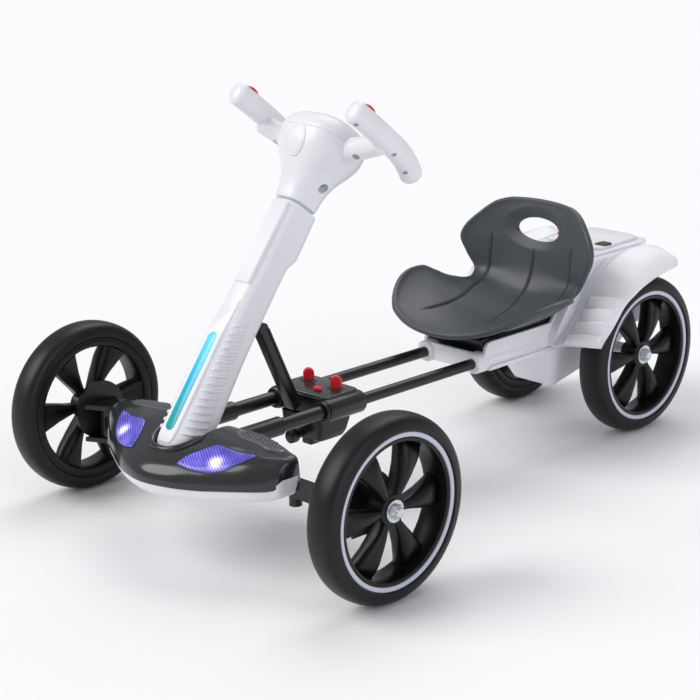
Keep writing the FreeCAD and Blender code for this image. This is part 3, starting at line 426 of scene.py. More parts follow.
def smooth_row(points, steps=6):
    """A row of points made finer along a soft curve through them."""
    row = [np.array(p, float) for p in points]
    row = [2 * row[0] - row[1]] + row + [2 * row[-1] - row[-2]]
    finer = []
    for a, b, c, d in zip(row, row[1:], row[2:], row[3:]):
        for t in np.arange(steps) / steps:
            finer.append(0.5 * (2 * b + (c - a) * t + (2 * a - 5 * b + 4 * c - d) * t ** 2
                                + (3 * b - a - 3 * c + d) * t ** 3))
    return finer + [row[-2]]


def turned(profile, centre, side, steps=96):
    """Rings of a shape turned about the axle: the profile holds (outwards, radius) pairs."""
    rings = []
    for step in range(steps):
        angle = 2 * math.pi * step / steps
        rings.append([centre + Vector((side * out, math.cos(angle) * radius, math.sin(angle) * radius)) * MM
                      for out, radius in profile])
    return rings


def rounded_rectangle(half_wide, half_deep, corner, steps=6):
    """Points round a rectangle with round corners."""
    points = []
    for sx, sy, start in ((1, 1, 0), (-1, 1, 90), (-1, -1, 180), (1, -1, 270)):
        for step in range(steps + 1):
            angle = math.radians(start + 90 * step / steps)
            points.append((sx * (half_wide - corner) + corner * math.cos(angle),
                           sy * (half_deep - corner) + corner * math.sin(angle)))
    return points


print("a row of 3 points made finer has", len(smooth_row([(0, 0), (1, 0), (2, 1)])), "points")

# %% [markdown]
# Flat-sided mouldings start as an outline with round corners that is drawn out and bevelled, and
# whatever lies on a curved surface is laid there by a ray, so that it never floats or sinks. A
# shrinkwrap modifier would do the same, but a ray gives the lift of each point as well.

# %% Outlines with round corners
def rounded_outline(corners, radius, steps=5):
    """An outline whose corners are cut back by the radius and rounded."""
    points = []
    for i, corner in enumerate(corners):
        here = np.array(corner[:2], float)
        size = corner[2] if len(corner) > 2 else radius
        before = np.array(corners[i - 1][:2], float) - here
        after = np.array(corners[(i + 1) % len(corners)][:2], float) - here
        start = here + before * min(size / np.linalg.norm(before), 0.49)
        stop = here + after * min(size / np.linalg.norm(after), 0.49)
        for step in range(steps + 1):
            t = step / steps
            points.append(tuple((1 - t) ** 2 * start + 2 * t * (1 - t) * here + t ** 2 * stop))
    return points


def block(outline, low, high, axis, bevel, segments=3):
    """A solid with one outline, drawn out along x, y or z, with its rims bevelled."""
    place = {"x": lambda a, b, c: kart(c, a, b), "y": lambda a, b, c: kart(a, c, b),
             "z": lambda a, b, c: kart(a, b, c)}[axis]
    work = bmesh.new()
    ends = []
    for level in (low, high):
        ends.append([work.verts.new(place(a, b, level)) for a, b in outline])
    rims = [work.faces.new(ends[0]), work.faces.new(ends[1])]
    for i in range(len(outline)):
        j = (i + 1) % len(outline)
        work.faces.new((ends[0][i], ends[0][j], ends[1][j], ends[1][i]))
    bmesh.ops.recalc_face_normals(work, faces=work.faces)
    edges = {edge for rim in rims for edge in rim.edges}
    bmesh.ops.bevel(work, geom=list(edges), offset=bevel * MM, segments=segments, profile=0.5,
                    affect="EDGES", clamp_overlap=True)
    work.verts.index_update()
    part = ([v.co.copy() for v in work.verts], [tuple(v.index for v in f.verts) for f in work.faces])
    work.free()
    return part


square = [(-10, -10), (10, -10), (10, 10), (-10, 10)]
print("a square with round corners has", len(rounded_outline(square, 2)), "points")


# %% Pieces laid on a surface
def laid(tree, start, way, lift):
    """The place where a ray meets a surface, lifted along the surface's normal."""
    hit, normal, _, _ = tree.ray_cast(start, way)
    if hit is None:
        return None
    if normal.dot(way) > 0:
        normal = -normal
    return hit + normal * lift * MM


def laid_patch(tree, start_of, way, outline, profile):
    """A patch with an outline that lies on a surface: the profile holds (share of the outline, lift)."""
    middle = np.mean(np.array(outline, float), axis=0)
    rings = []
    for share, lift in profile:
        ring = []
        for u, v in outline:
            a, b = middle + (np.array((u, v)) - middle) * share
            ring.append(laid(tree, start_of(a, b), way, lift))
        rings.append(ring)
    return skin(rings)


def surface_tree(part):
    """A part as a tree that rays can be cast at."""
    points, faces = part
    return BVHTree.FromPolygons([Vector(p) for p in points], faces)


lid = block(square, 0, 5, "z", 0.5)
lid_point = laid(surface_tree(lid), kart(0, 0, 50), Vector((0, 0, -1)), 1.0)
print("a point laid 1 mm above a 5 mm lid lies at", round(lid_point.z / MM, 2), "mm")

# %% [markdown]
# Two Geometry Nodes trees make whatever repeats. The first copies one unit along a step, a turn and
# a growth: the blades of a wheel and the ribs of the column come from it. The second sets a unit on
# each of a list of places: the studs of a footrest. The copies are realised and the result is read
# back as a plain mesh, so that nothing live is left on the piece. An Array modifier could do the
# first, but it neither turns about an axle nor shrinks along the way without a helper object.

# %% Copies in a row
def copies_tree():
    """Copies of a unit, each one step, one turn and one growth further than the one before."""
    tree = bpy.data.node_groups.new("copies_of_a_unit", "GeometryNodeTree")
    face = tree.interface
    face.new_socket("Unit", in_out="INPUT", socket_type="NodeSocketGeometry")
    face.new_socket("Count", in_out="INPUT", socket_type="NodeSocketInt")
    for name in ("Step", "Turn", "First Turn", "Grow"):
        face.new_socket(name, in_out="INPUT", socket_type="NodeSocketVector")
    face.new_socket("Material", in_out="INPUT", socket_type="NodeSocketMaterial")
    face.new_socket("Copies", in_out="OUTPUT", socket_type="NodeSocketGeometry")
    given = add_node(tree, "NodeGroupInput").outputs
    index = add_node(tree, "GeometryNodeInputIndex").outputs["Index"]

    def per_copy(vector, start=(0.0, 0.0, 0.0)):
        """A vector that grows with the number of the copy."""
        scaled = add_node(tree, "ShaderNodeVectorMath", {"Vector": vector, "Scale": index},
                          operation="SCALE")
        return add_node(tree, "ShaderNodeVectorMath", {0: scaled.outputs[0], 1: start},
                        operation="ADD").outputs[0]

    row = add_node(tree, "GeometryNodePoints",
                   {"Count": given["Count"], "Position": per_copy(given["Step"])})
    turn = add_node(tree, "FunctionNodeEulerToRotation",
                    {"Euler": per_copy(given["Turn"], given["First Turn"])})
    size = per_copy(given["Grow"], (1.0, 1.0, 1.0))
    placed = add_node(tree, "GeometryNodeInstanceOnPoints",
                      {"Points": row.outputs[0], "Instance": given["Unit"], "Rotation": turn.outputs[0],
                       "Scale": size})
    real = add_node(tree, "GeometryNodeRealizeInstances", {"Geometry": placed.outputs[0]})
    finished = add_node(tree, "GeometryNodeSetMaterial",
                        {"Geometry": real.outputs[0], "Material": given["Material"]})
    add_node(tree, "NodeGroupOutput", {"Copies": finished.outputs[0]})
    return tree


def placed_tree():
    """A unit set on each vertex of the mesh that the tree gets."""
    tree = bpy.data.node_groups.new("units_on_places", "GeometryNodeTree")
    face = tree.interface
    face.new_socket("Places", in_out="INPUT", socket_type="NodeSocketGeometry")
    face.new_socket("Unit", in_out="INPUT", socket_type="NodeSocketObject")
    face.new_socket("Size", in_out="INPUT", socket_type="NodeSocketFloat")
    face.new_socket("Material", in_out="INPUT", socket_type="NodeSocketMaterial")
    face.new_socket("Copies", in_out="OUTPUT", socket_type="NodeSocketGeometry")
    given = add_node(tree, "NodeGroupInput").outputs
    unit = add_node(tree, "GeometryNodeObjectInfo", {"Object": given["Unit"]})
    size = add_node(tree, "ShaderNodeCombineXYZ",
                    {"X": given["Size"], "Y": given["Size"], "Z": given["Size"]})
    placed = add_node(tree, "GeometryNodeInstanceOnPoints",
                      {"Points": given["Places"], "Instance": unit.outputs["Geometry"],
                       "Scale": size.outputs[0]})
    real = add_node(tree, "GeometryNodeRealizeInstances", {"Geometry": placed.outputs[0]})
    finished = add_node(tree, "GeometryNodeSetMaterial",
                        {"Geometry": real.outputs[0], "Material": given["Material"]})
    add_node(tree, "NodeGroupOutput", {"Copies": finished.outputs[0]})
    return tree


COPIES = copies_tree()
PLACED = placed_tree()
print("trees", COPIES.name, PLACED.name)


# %% Reading a tree's result
def holder_of(name, points, faces):
    """A plain object that a modifier can work on."""
    mesh = bpy.data.meshes.new(name)
    mesh.from_pydata([tuple(p) for p in points], [], faces)
    holder = bpy.data.objects.new(name, mesh)
    bpy.context.scene.collection.objects.link(holder)
    return holder


def result_of(holder, tree, values):
    """What a tree makes of an object, as plain points and faces. The object is removed."""
    modifier = holder.modifiers.new("tree", "NODES")
    modifier.node_group = tree
    for item in tree.interface.items_tree:
        if item.in_out == "INPUT" and item.name in values:
            modifier[item.identifier] = values[item.name]
    bpy.context.view_layer.update()
    depsgraph = bpy.context.evaluated_depsgraph_get()
    result = bpy.data.meshes.new_from_object(holder.evaluated_get(depsgraph))
    made = ([v.co.copy() for v in result.vertices], [tuple(p.vertices) for p in result.polygons])
    bpy.data.objects.remove(holder)
    bpy.data.meshes.remove(result)
    return made


def copies(name, unit, count, material, step=(0, 0, 0), turn=(0, 0, 0), first_turn=(0, 0, 0),
           grow=(0, 0, 0)):
    """A unit copied in a row or round a circle."""
    values = {"Count": count, "Step": step, "Turn": turn, "First Turn": first_turn, "Grow": grow,
              "Material": material}
    return result_of(holder_of(name, *unit), COPIES, values)


def units_on(name, unit, places, material):
    """A unit set on each place of a list."""
    unit_object = holder_of(name + "_unit", *unit)
    made = result_of(holder_of(name, places, []), PLACED,
                     {"Unit": unit_object, "Size": 1.0, "Material": material})
    bpy.data.objects.remove(unit_object)
    return made


def gathered(*parts):
    """Several sets of points and faces as one."""
    points = []
    faces = []
    for part_points, part_faces in parts:
        start = len(points)
        points += list(part_points)
        faces += [tuple(start + i for i in face) for face in part_faces]
    return points, faces


def moved(part, matrix):
    """A part in another place."""
    points, faces = part
    return [matrix @ Vector(p) for p in points], faces


row_of_lids = copies("lids", lid, 3, white_abs, step=(0.03, 0, 0))
print("three lids in a row have", len(row_of_lids[1]), "faces, one has", len(lid[1]))

# %% [markdown]
# The wheels come first because they are nearest to the eye. The tyre is one foam moulding, turned
# from a profile with a broad round crown and one crease at the outer shoulder. A torus with a
# tread texture would be quicker, but its crown would be a circle, and this one is flatter.

# %% Tyres
TYRE_PROFILE = [(-19.6, 93.9), (-20.8, 95.4), (-21.3, 98.0), (-21.0, 102.4), (-19.2, 106.6), (-15.2, 109.9),
                (-8.6, 111.9), (0.0, 112.5), (8.2, 111.7), (13.8, 109.9), (17.4, 107.3)]
TYRE_WALL = [(17.4, 107.3), (19.5, 103.6), (20.8, 99.0), (21.3, 95.9), (21.0, 94.2), (19.9, 93.7),
             (16.0, 93.7)]
WHEELS = [("front_left", 1), ("front_right", -1), ("rear_left", 1), ("rear_right", -1)]


def wheel_middle(name):
    """The middle of a wheel, read from its tyre in the frame."""
    low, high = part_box("tyre_" + name)
    return (low + high) / 2


for name, side in WHEELS:
    profile = smooth_row(TYRE_PROFILE, 4) + smooth_row(TYRE_WALL, 3)[1:] + [(-16.0, 93.7)]
    points, faces = skin(turned(profile, wheel_middle(name), side), joined=True)
    piece("foam_tyre_" + name, points, faces, eva_tyre, "wheel_" + name, ["tyre_" + name], "tyre_black",
          sharp=24)
print("tyres", len(WHEELS), "points on the profile", len(profile))

# %% [markdown]
# The wheel centre is a nylon moulding: a barrel under the tyre, a hub on the axle, and six petal
# blades between them, narrow at the hub and broad at the barrel. One blade is drawn as a stack of
# rounded rectangles, from the hub outwards. The tree turns it about the axle. Cutting windows
# into a disc was the other way, but it gives flat spokes without the blades' full rounded faces.

# %% One blade
# Each blade section: radius, inner edge, outer edge, width.
BLADE_SECTIONS = [(15.0, -9.0, 10.4, 10.0), (22.0, -9.6, 11.6, 11.0), (34.0, -11.0, 13.2, 15.5),
                  (48.0, -12.8, 13.4, 24.0), (60.0, -14.6, 12.0, 31.0), (69.0, -16.0, 9.6, 35.0),
                  (75.0, -17.0, 6.6, 37.5), (79.0, -18.0, 3.0, 39.5), (81.0, -18.8, 0.4, 41.0)]
SPOKE_COUNT = 6


def blade():
    """One blade along z: a stack of rounded rectangles from the hub to the barrel."""
    rings = []
    for radius, inner, outer, width in smooth_row(BLADE_SECTIONS, 3):
        half_deep = (outer - inner) / 2
        corner = min(width / 2, half_deep) * 0.9
        ring = rounded_rectangle(half_deep, width / 2, corner, 5)
        rings.append([Vector(((inner + outer) / 2 + u, v, radius)) * MM for u, v in ring])
    return skin(rings)


spokes = copies("blades", blade(), SPOKE_COUNT, black_nylon, turn=(2 * math.pi / SPOKE_COUNT, 0, 0),
                first_turn=(math.radians(30), 0, 0))
print("blades", SPOKE_COUNT, "points in a set", len(spokes[0]))

# %% Wheel centres
# The profiles hold (outwards, radius) pairs from the wheel's middle.
HUB = 19.0
BARREL = 80.0
BARREL_PROFILE = [(-20.0, 93.4), (-20.6, 91.6), (-20.6, 86.0), (-19.4, 83.0), (-15.0, BARREL + 0.6),
                  (-4.0, BARREL), (12.0, BARREL + 0.6), (17.6, 82.4), (18.6, 84.4), (18.6, 86.5),
                  (16.4, 88.0), (16.0, 93.4)]
HUB_PROFILE = [(-19.0, 6.1), (-19.0, 12.0), (-17.6, 14.0), (-12.0, 14.4), (6.0, 17.4), (10.0, HUB),
               (11.0, HUB - 0.8), (11.3, HUB - 2.6), (10.6, 13.2), (10.6, 6.1)]
BAND_PROFILE = [(15.0, 87.2), (18.6, 87.5), (19.5, 88.3), (19.9, 90.5), (19.5, 92.6), (18.4, 93.5),
                (15.0, 93.8)]


def facing(side):
    """The turn that makes a left piece a right one without mirroring it."""
    return Matrix.Rotation(0.0 if side > 0 else math.pi, 4, "Z")


for name, side in WHEELS:
    middle = wheel_middle(name)
    hub = skin(turned(HUB_PROFILE, Vector(), 1, 48), joined=True)
    barrel = skin(turned(BARREL_PROFILE, Vector(), 1, 96), joined=True)
    points, faces = moved(gathered(spokes, hub, barrel), Matrix.Translation(middle) @ facing(side))
    piece("bladed_centre_" + name, points, faces, black_nylon, "wheel_" + name, ["wheel_centre_" + name],
          "wheel_black", sharp=38)
    points, faces = skin(turned(BAND_PROFILE, middle, side), joined=True)
    piece("trim_band_" + name, points, faces, grey_abs, "wheel_" + name, ["trim_ring_" + name], "ring_grey",
          sharp=35)
print("rim ring from radius", BAND_PROFILE[0][1], "to", BAND_PROFILE[-1][1])

# %% [markdown]
# The axle ends carry a washer, a nut and the rounded end of the bolt. They are turned and pressed
# steel, zinc plated, and they are the brightest points of each wheel. A cylinder with six sides
# would do for the nut from afar, but its chamfers catch the light, so it is drawn in five rings.

# %% Axle nuts
# Washer, nut and bolt lie one on the other, measured outwards from the wheel's middle.
WASHER_SEAT = 10.8
WASHER = [(0.0, 0.0), (0.0, 13.6), (2.9, 13.6), (3.3, 13.2), (3.3, 0.0)]
NUT_SPAN = (13.9, 20.1)
NUT_FLATS = 15.8
BOLT_SPAN = (13.8, 23.2)
BOLT_RADIUS = 6.4


def hexagon_nut(low, high, flats):
    """A hexagon nut on the x axis, chamfered at both ends."""
    corner = flats / math.sqrt(3)
    rings = []
    for out, share in ((low, 0.985), (low + 0.4, 1.0), (high - 1.0, 1.0), (high, 0.9), (high, 0.55)):
        rings.append([Vector((out, math.cos(math.radians(60 * i)) * corner * share,
                              math.sin(math.radians(60 * i)) * corner * share)) * MM for i in range(6)])
    return skin(rings)


def bolt_end(start, end, radius):
    """The rounded end of a bolt on the x axis."""
    profile = [(start, 0.01), (start, radius), (end - 1.6, radius), (end - 0.5, radius * 0.86),
               (end, radius * 0.45), (end, 0.01)]
    return skin(turned(profile, Vector(), 1, 24), joined=True)


for name, side in WHEELS:
    middle = wheel_middle(name)
    body = ("steer_" + name.split("_")[1]) if name.startswith("front") else "rear_frame"
    washer = skin(turned(WASHER, Vector((WASHER_SEAT * MM, 0, 0)), 1, 40), joined=True)
    stack = gathered(washer, hexagon_nut(*NUT_SPAN, NUT_FLATS), bolt_end(*BOLT_SPAN, BOLT_RADIUS))
    points, faces = moved(stack, Matrix.Translation(middle) @ facing(side))
    piece("axle_nut_" + name, points, faces, zinc_plate, body, slot="steel", sharp=30)
print("nut", NUT_FLATS, "mm across its flats")

# %% [markdown]
# The seat is one sheet of polypropylene: a flat pan, two round thigh wings, a notch each side for
# the hips, and a back with two shoulder wings. A cage with subdivision would be soft too, but hard
# to hold to measured edges. So it is drawn as a grid: each row runs across the seat from a middle
# point to an edge point, and lifts towards the edge along a power curve.

# %% Seat rows
# Each row: middle (y, z), then the edge (x, y, z), from the front lip up to the top.
SEAT_ROWS = [(371, 186, 88, 391, 199), (385, 183, 102, 404, 206), (405, 180, 116, 421, 215),
             (430, 178, 128, 442, 224), (455, 177, 136, 463, 230), (480, 177, 139, 484, 233),
             (505, 179, 136, 505, 232), (528, 184, 122, 516, 226), (548, 192, 104, 527, 218),
             (565, 203, 94, 543, 213), (575, 214, 92, 558, 214), (583, 230, 97, 571, 226),
             (588, 250, 110, 567, 248), (591, 272, 119, 565, 268), (595, 292, 114, 571, 286),
             (599, 312, 98, 581, 304), (604, 326, 76, 592, 322), (607, 332, 52, 600, 330)]
SEAT_RISE = 2.2


def seat_grid(across=181, rows_between=10):
    """The middle surface of the seat as a grid of places."""
    rows = np.array(smooth_row(SEAT_ROWS, rows_between))
    u = np.linspace(-1, 1, across)
    u = np.sign(u) * np.abs(u) ** 0.92
    rise = np.abs(u) ** SEAT_RISE
    x = rows[:, 2:3] * u
    y = rows[:, 0:1] + (rows[:, 3:4] - rows[:, 0:1]) * rise
    z = rows[:, 1:2] + (rows[:, 4:5] - rows[:, 1:2]) * rise
    return np.stack([x, y, z], axis=2)


def grid_normals(grid):
    """The way each point of a grid faces."""
    along = np.gradient(grid, axis=0)
    across = np.gradient(grid, axis=1)
    normals = np.cross(across, along)
    return normals / np.linalg.norm(normals, axis=2, keepdims=True)


print("seat grid", seat_grid().shape[:2])


# %% Seat thickness, grooves and rim
SEAT_SHEET = 5.5
SEAT_ROLL = 9.5
ROLL_REACH = 7.0
RIM_ROUND = 4.6
# The handle hole: middle x and z, half width, half height.
HANDLE_HOLE = (0.0, 290.0, 38.0, 16.5)
# Each pressed groove: its x, the y where it starts and the z where it stops.
GROOVE_PLACES = [(0.0, 440.0, 268.0), (72.0, 425.0, 282.0), (-72.0, 425.0, 282.0)]
GROOVE_DEPTH = 2.7
GROOVE_HALF_WIDTH = 1.7
HOLE_DISH = 5.5


def edge_distance(grid):
    """How far each grid point lies from the nearest edge of the sheet."""
    edge = np.concatenate([grid[0], grid[-1], grid[:, 0], grid[:, -1]])
    flat = grid.reshape(-1, 3)
    best = np.full(len(flat), 1e9)
    for start in range(0, len(flat), 4000):
        block = flat[start:start + 4000]
        best[start:start + 4000] = np.sqrt(((block[:, None] - edge[None]) ** 2).sum(2)).min(1)
    return best.reshape(grid.shape[:2])


def seat_sides():
    """The seat's top and underside: a rolled rim, a rounded edge, grooves and a dish at the hole."""
    grid = seat_grid()
    normals = grid_normals(grid)
    # The pan has to face up: this point lies on it.
    if normals[20, 90, 2] < 0:
        normals = -normals
    away = edge_distance(grid)
    thick = SEAT_SHEET + (SEAT_ROLL - SEAT_SHEET) * np.exp(-(away / ROLL_REACH) ** 2)
    rim = np.sqrt(np.clip(1 - (1 - np.clip(away / RIM_ROUND, 0, 1)) ** 2, 0, 1))
    groove = np.zeros_like(away)
    for place, start, stop in GROOVE_PLACES:
        near = np.exp(-((grid[:, :, 0] - place) / GROOVE_HALF_WIDTH) ** 2)
        inside = np.clip((grid[:, :, 1] - start) / 30, 0, 1) * np.clip((stop - grid[:, :, 2]) / 14, 0, 1)
        groove += GROOVE_DEPTH * near * inside
    hole_x = (grid[:, :, 0] - HANDLE_HOLE[0]) / (HANDLE_HOLE[2] + 12)
    hole_z = (grid[:, :, 2] - HANDLE_HOLE[1] - 2) / (HANDLE_HOLE[3] + 9)
    on_back = grid[:, :, 1] > 570
    dish = HOLE_DISH * np.clip(1.15 - np.sqrt(hole_x ** 2 + hole_z ** 2), 0, 0.5) * 2 * on_back
    lift = rim * thick / 2
    top = grid + normals * (lift - groove - dish)[:, :, None]
    bottom = grid - normals * (lift + dish)[:, :, None]
    return top, bottom


def sheet_faces(rows, columns, offset, flip):
    """The faces of a grid, whose first point has the number of the offset."""
    faces = []
    for i in range(rows - 1):
        for j in range(columns - 1):
            a = offset + i * columns + j
            face = (a, a + 1, a + columns + 1, a + columns)
            faces.append(tuple(reversed(face)) if flip else face)
    return faces


top, bottom = seat_sides()
print("seat sheet", SEAT_SHEET, "mm, rim", SEAT_ROLL, "mm, grooves", len(GROOVE_PLACES))


# %% Cutting one shape out of another
# A cut needs clean solids: close points are welded and slivers dissolved first.
CUT_WELD_GAP = 0.00004
SLIVER = 0.00002


def oval_cutter(middle, half_x, half_z, start_y, end_y, steps=48):
    """A straight oval rod from front to back, for the handle hole."""
    rings = []
    for y in (start_y, end_y):
        rings.append([kart(middle[0] + half_x * math.cos(2 * math.pi * i / steps), y,
                           middle[1] + half_z * math.sin(2 * math.pi * i / steps)) for i in range(steps)])
    return skin(rings)


def cut_away(mesh, cutters):
    """The mesh with each cutter's volume taken out of it."""
    holder = bpy.data.objects.new("cutting", mesh)
    bpy.context.scene.collection.objects.link(holder)
    tools = []
    for points, faces in cutters:
        tool_mesh = bpy.data.meshes.new("cutter")
        tool_mesh.from_pydata([tuple(p) for p in points], [], faces)
        work = bmesh.new()
        work.from_mesh(tool_mesh)
        bmesh.ops.recalc_face_normals(work, faces=work.faces)
        work.to_mesh(tool_mesh)
        work.free()
        tool = bpy.data.objects.new("cutter", tool_mesh)
        bpy.context.scene.collection.objects.link(tool)
        modifier = holder.modifiers.new("cut", "BOOLEAN")
        modifier.operation = "DIFFERENCE"
        modifier.solver = "EXACT"
        modifier.object = tool
        tools.append(tool)
    bpy.context.view_layer.update()
    depsgraph = bpy.context.evaluated_depsgraph_get()
    result = bpy.data.meshes.new_from_object(holder.evaluated_get(depsgraph))
    for extra in [holder] + tools:
        bpy.data.objects.remove(extra)
    return result


def closed_mesh(name, points, faces):
    """A welded mesh whose faces point outwards, fit to be cut."""
    mesh = bpy.data.meshes.new(name)
    mesh.from_pydata([tuple(p) for p in points], [], faces)
    work = bmesh.new()
    work.from_mesh(mesh)
    bmesh.ops.remove_doubles(work, verts=work.verts, dist=CUT_WELD_GAP)
    bmesh.ops.dissolve_degenerate(work, edges=work.edges, dist=SLIVER)
    bmesh.ops.recalc_face_normals(work, faces=work.faces)
    work.to_mesh(mesh)
    work.free()
    return mesh


print("faces of an oval cutter", len(oval_cutter((0, 0), 10, 5, 0, 20)[1]))

# %% Seat sheet
rows, columns = top.shape[:2]
points = [kart(*p) for p in top.reshape(-1, 3)] + [kart(*p) for p in bottom.reshape(-1, 3)]
faces = sheet_faces(rows, columns, 0, False) + sheet_faces(rows, columns, rows * columns, True)
seat_sheet = closed_mesh("seat_sheet", points, faces)
hole = oval_cutter((HANDLE_HOLE[0], HANDLE_HOLE[1]), HANDLE_HOLE[2], HANDLE_HOLE[3], 560, 640)
seat_sheet = cut_away(seat_sheet, [hole])
dress("seat_sheet", seat_sheet, seat_polypropylene, "rear_frame", ["seat_shell"], sharp=50)
print("seat points", len(seat_sheet.vertices))

# %% [markdown]
# The front pod is a crescent of gloss ABS over a white lip. Its top is a grid too: each row is
# one section from the parting line over the crest and down the back, and the rows are blended
# softly across. The column's foot stands in a well, and a slot behind it leaves room to fold. The
# opening could be built into the rows, but a cut through a closed solid keeps its edge clean.

# %% Pod sections
# Each section: x, then (y, z) from the parting line over the crest to the rear edge.
POD_SECTIONS = [
    (0, [(-134, 111), (-134, 119), (-129, 129), (-117, 138), (-98, 146), (-74, 152), (-44, 157), (-20, 157),
         (-9, 149), (-5, 122)]),
    (40, [(-126, 111), (-126, 119), (-121, 129), (-110, 138), (-92, 147), (-70, 154), (-43, 159),
          (-20, 159), (-9, 150), (-5, 121)]),
    (72, [(-111, 111), (-111, 119), (-107, 129), (-97, 138), (-83, 147), (-66, 155), (-44, 159), (-21, 160),
          (-9, 151), (-6, 120)]),
    (100, [(-96, 113), (-96, 121), (-92, 131), (-84, 141), (-72, 148), (-60, 153), (-42, 157), (-21, 158),
           (-10, 150), (-7, 119)]),
    (122, [(-84, 115), (-84, 123), (-80, 134), (-72, 144), (-62, 150), (-52, 153), (-38, 155), (-23, 156),
           (-14, 149), (-11, 119)]),
    (140, [(-71, 116), (-71, 125), (-67, 137), (-60, 146), (-52, 151), (-44, 153), (-35, 154), (-27, 154),
           (-19, 148), (-16, 120)]),
    (151, [(-62, 118), (-62, 127), (-59, 138), (-53, 147), (-46, 151), (-40, 153), (-34, 153.5), (-28, 153),
           (-22, 148), (-19, 122)]),
    (155.5, [(-58, 121), (-58, 129), (-55.5, 138), (-50, 146), (-44, 150), (-39, 151.5), (-34, 152),
             (-29, 151.5), (-24, 147.5), (-21, 124)]),
    (158.6, [(-53, 125), (-53, 131), (-51, 138), (-47, 144), (-42, 147.5), (-38, 149), (-34, 149.3),
             (-30, 149), (-26.5, 146), (-24.5, 127)]),
]


def pod_grid(sections, across=6, along=6):
    """The top of the pod as a grid of (x, y, z), mirrored about the middle."""
    left = []
    for x, profile in sections:
        left.append([(x, y, z) for y, z in smooth_row(profile, along)])
    mirror = [[(-x, y, z) for x, y, z in row] for row in reversed(left[1:])]
    rows = np.array(mirror + left, float)
    flat = [row.reshape(-1) for row in rows]
    return np.array(smooth_row(flat, across)).reshape(-1, rows.shape[1], 3)


pod_top = pod_grid(POD_SECTIONS)
print("pod grid", pod_top.shape[:2])


# %% Room for the column's foot
POD_FLOOR = 112
FOOT_GAP = 4.0
# The column folds about COLUMN_PIVOT. Its toe sweeps a round hollow below it.
TOE_RADIUS = 31.0


def closed_crescent(grid, floor_z):
    """A grid of sections closed with a flat underside."""
    return skin([[kart(row[0][0], row[0][1] + 6, floor_z)] + [kart(*p) for p in row]
                 + [kart(row[-1][0], row[-1][1] - 2, floor_z)] for row in grid])


def column_ring(along, centre, wide, deep, corner, steps=6):
    """One cross-section of the leaning column."""
    return [on_column(x, along, centre + back)
            for x, back in rounded_rectangle(wide / 2, deep / 2, min(corner, wide / 2, deep / 2), steps)]


def foot_cutter(gap):
    """The room round the column's foot, behind it where the column folds, and below it for the toe."""
    well = skin([column_ring(-26, -4, 50 + gap * 2, 58 + gap * 2, 21),
                 column_ring(70, -4, 50 + gap * 2, 58 + gap * 2, 21)])
    half = 26 + gap
    slot = skin([[kart(x, y, z) for x, y in ((-half, -60), (half, -60), (half, 30), (-half, 30))]
                 for z in (117, 220)])
    pin_y, pin_z = COLUMN_PIVOT
    turns = [math.radians(15 * i) for i in range(24)]
    toe = skin([[kart(x, pin_y + TOE_RADIUS * math.cos(a), pin_z + TOE_RADIUS * math.sin(a)) for a in turns]
                for x in (-22, 22)])
    return [well, slot, toe]


pod_mesh = cut_away(closed_mesh("pod_cover", *closed_crescent(pod_top, POD_FLOOR)), foot_cutter(FOOT_GAP))
dress("pod_cover", pod_mesh, charcoal_abs, "front_frame", ["pod_shell"], sharp=45)
print("pod points", len(pod_mesh.vertices), "gap round the foot", FOOT_GAP, "mm")

# %% [markdown]
# Under the parting line the pod has a white lip, the paler half of a two-part shell. It could be
# the pod's own lower edge in another colour, but on the real thing it is a part by itself with a
# step at the line. So it gets sections of its own and the same opening.

# %% Pod lip
# Each section: x, then (y, z) from under the parting line down and in to the bottom edge.
LIP_SECTIONS = [
    (0, [(-132.4, 112), (-131.6, 108), (-128, 100), (-121, 94), (-113, 93), (-60, 93), (-12, 95),
         (-8, 111)]),
    (40, [(-124.4, 112), (-123.6, 108), (-120, 100), (-114, 94.5), (-106, 93.5), (-60, 93.5), (-12.5, 96),
          (-8.6, 111)]),
    (72, [(-109.8, 112), (-109.2, 108), (-106.6, 101), (-101.6, 96), (-95, 95), (-55, 95), (-13.5, 97),
          (-9.6, 111)]),
    (100, [(-94.8, 114), (-94.3, 109), (-92.2, 102.6), (-88.2, 98), (-82.6, 97), (-50, 97), (-15.6, 99),
           (-12, 113)]),
    (122, [(-82.8, 116), (-82.3, 111), (-80.6, 104.6), (-77, 100.4), (-72.4, 99.5), (-46, 99.5),
           (-18.6, 101), (-15, 114)]),
    (140, [(-70.2, 118), (-69.8, 113), (-68.6, 106.6), (-66, 103), (-62.4, 102), (-44, 102), (-23, 104),
           (-19, 117)]),
    (151, [(-61.6, 121), (-61.2, 115), (-60.2, 109), (-58, 105.6), (-55, 105), (-43, 105), (-27, 107),
           (-22, 121)]),
    (156.5, [(-57.4, 126), (-57, 118), (-56, 112), (-54.4, 109), (-52, 108.2), (-42, 108.2), (-29.4, 110),
             (-24, 126)]),
    (159, [(-52.6, 130), (-52.4, 122), (-51.8, 116), (-50.6, 113), (-49, 112), (-41, 112), (-32, 114),
           (-27.4, 130)]),
]
points, faces = skin([[kart(*p) for p in row] for row in pod_grid(LIP_SECTIONS)])
lip_mesh = cut_away(closed_mesh("pod_lip_moulding", points, faces), foot_cutter(FOOT_GAP))
dress("pod_lip_moulding", lip_mesh, white_abs, "front_frame", ["pod_lip"], sharp=40)
print("lip points", len(lip_mesh.vertices))

# %% [markdown]
# The collar is the raised bead of the pod round the column's foot. Its path drops onto the pod
# from above: a ray is cast down at each step, so the bead always lies on the surface. A curve with
# a bevel would bring its own twist, and a skin over rings closes its ends as well.

# %% Collar
DOWN = Vector((0, 0, -1))
pod_tree = surface_tree(([kart(*p) for p in pod_top.reshape(-1, 3)],
                         sheet_faces(*pod_top.shape[:2], 0, False)))


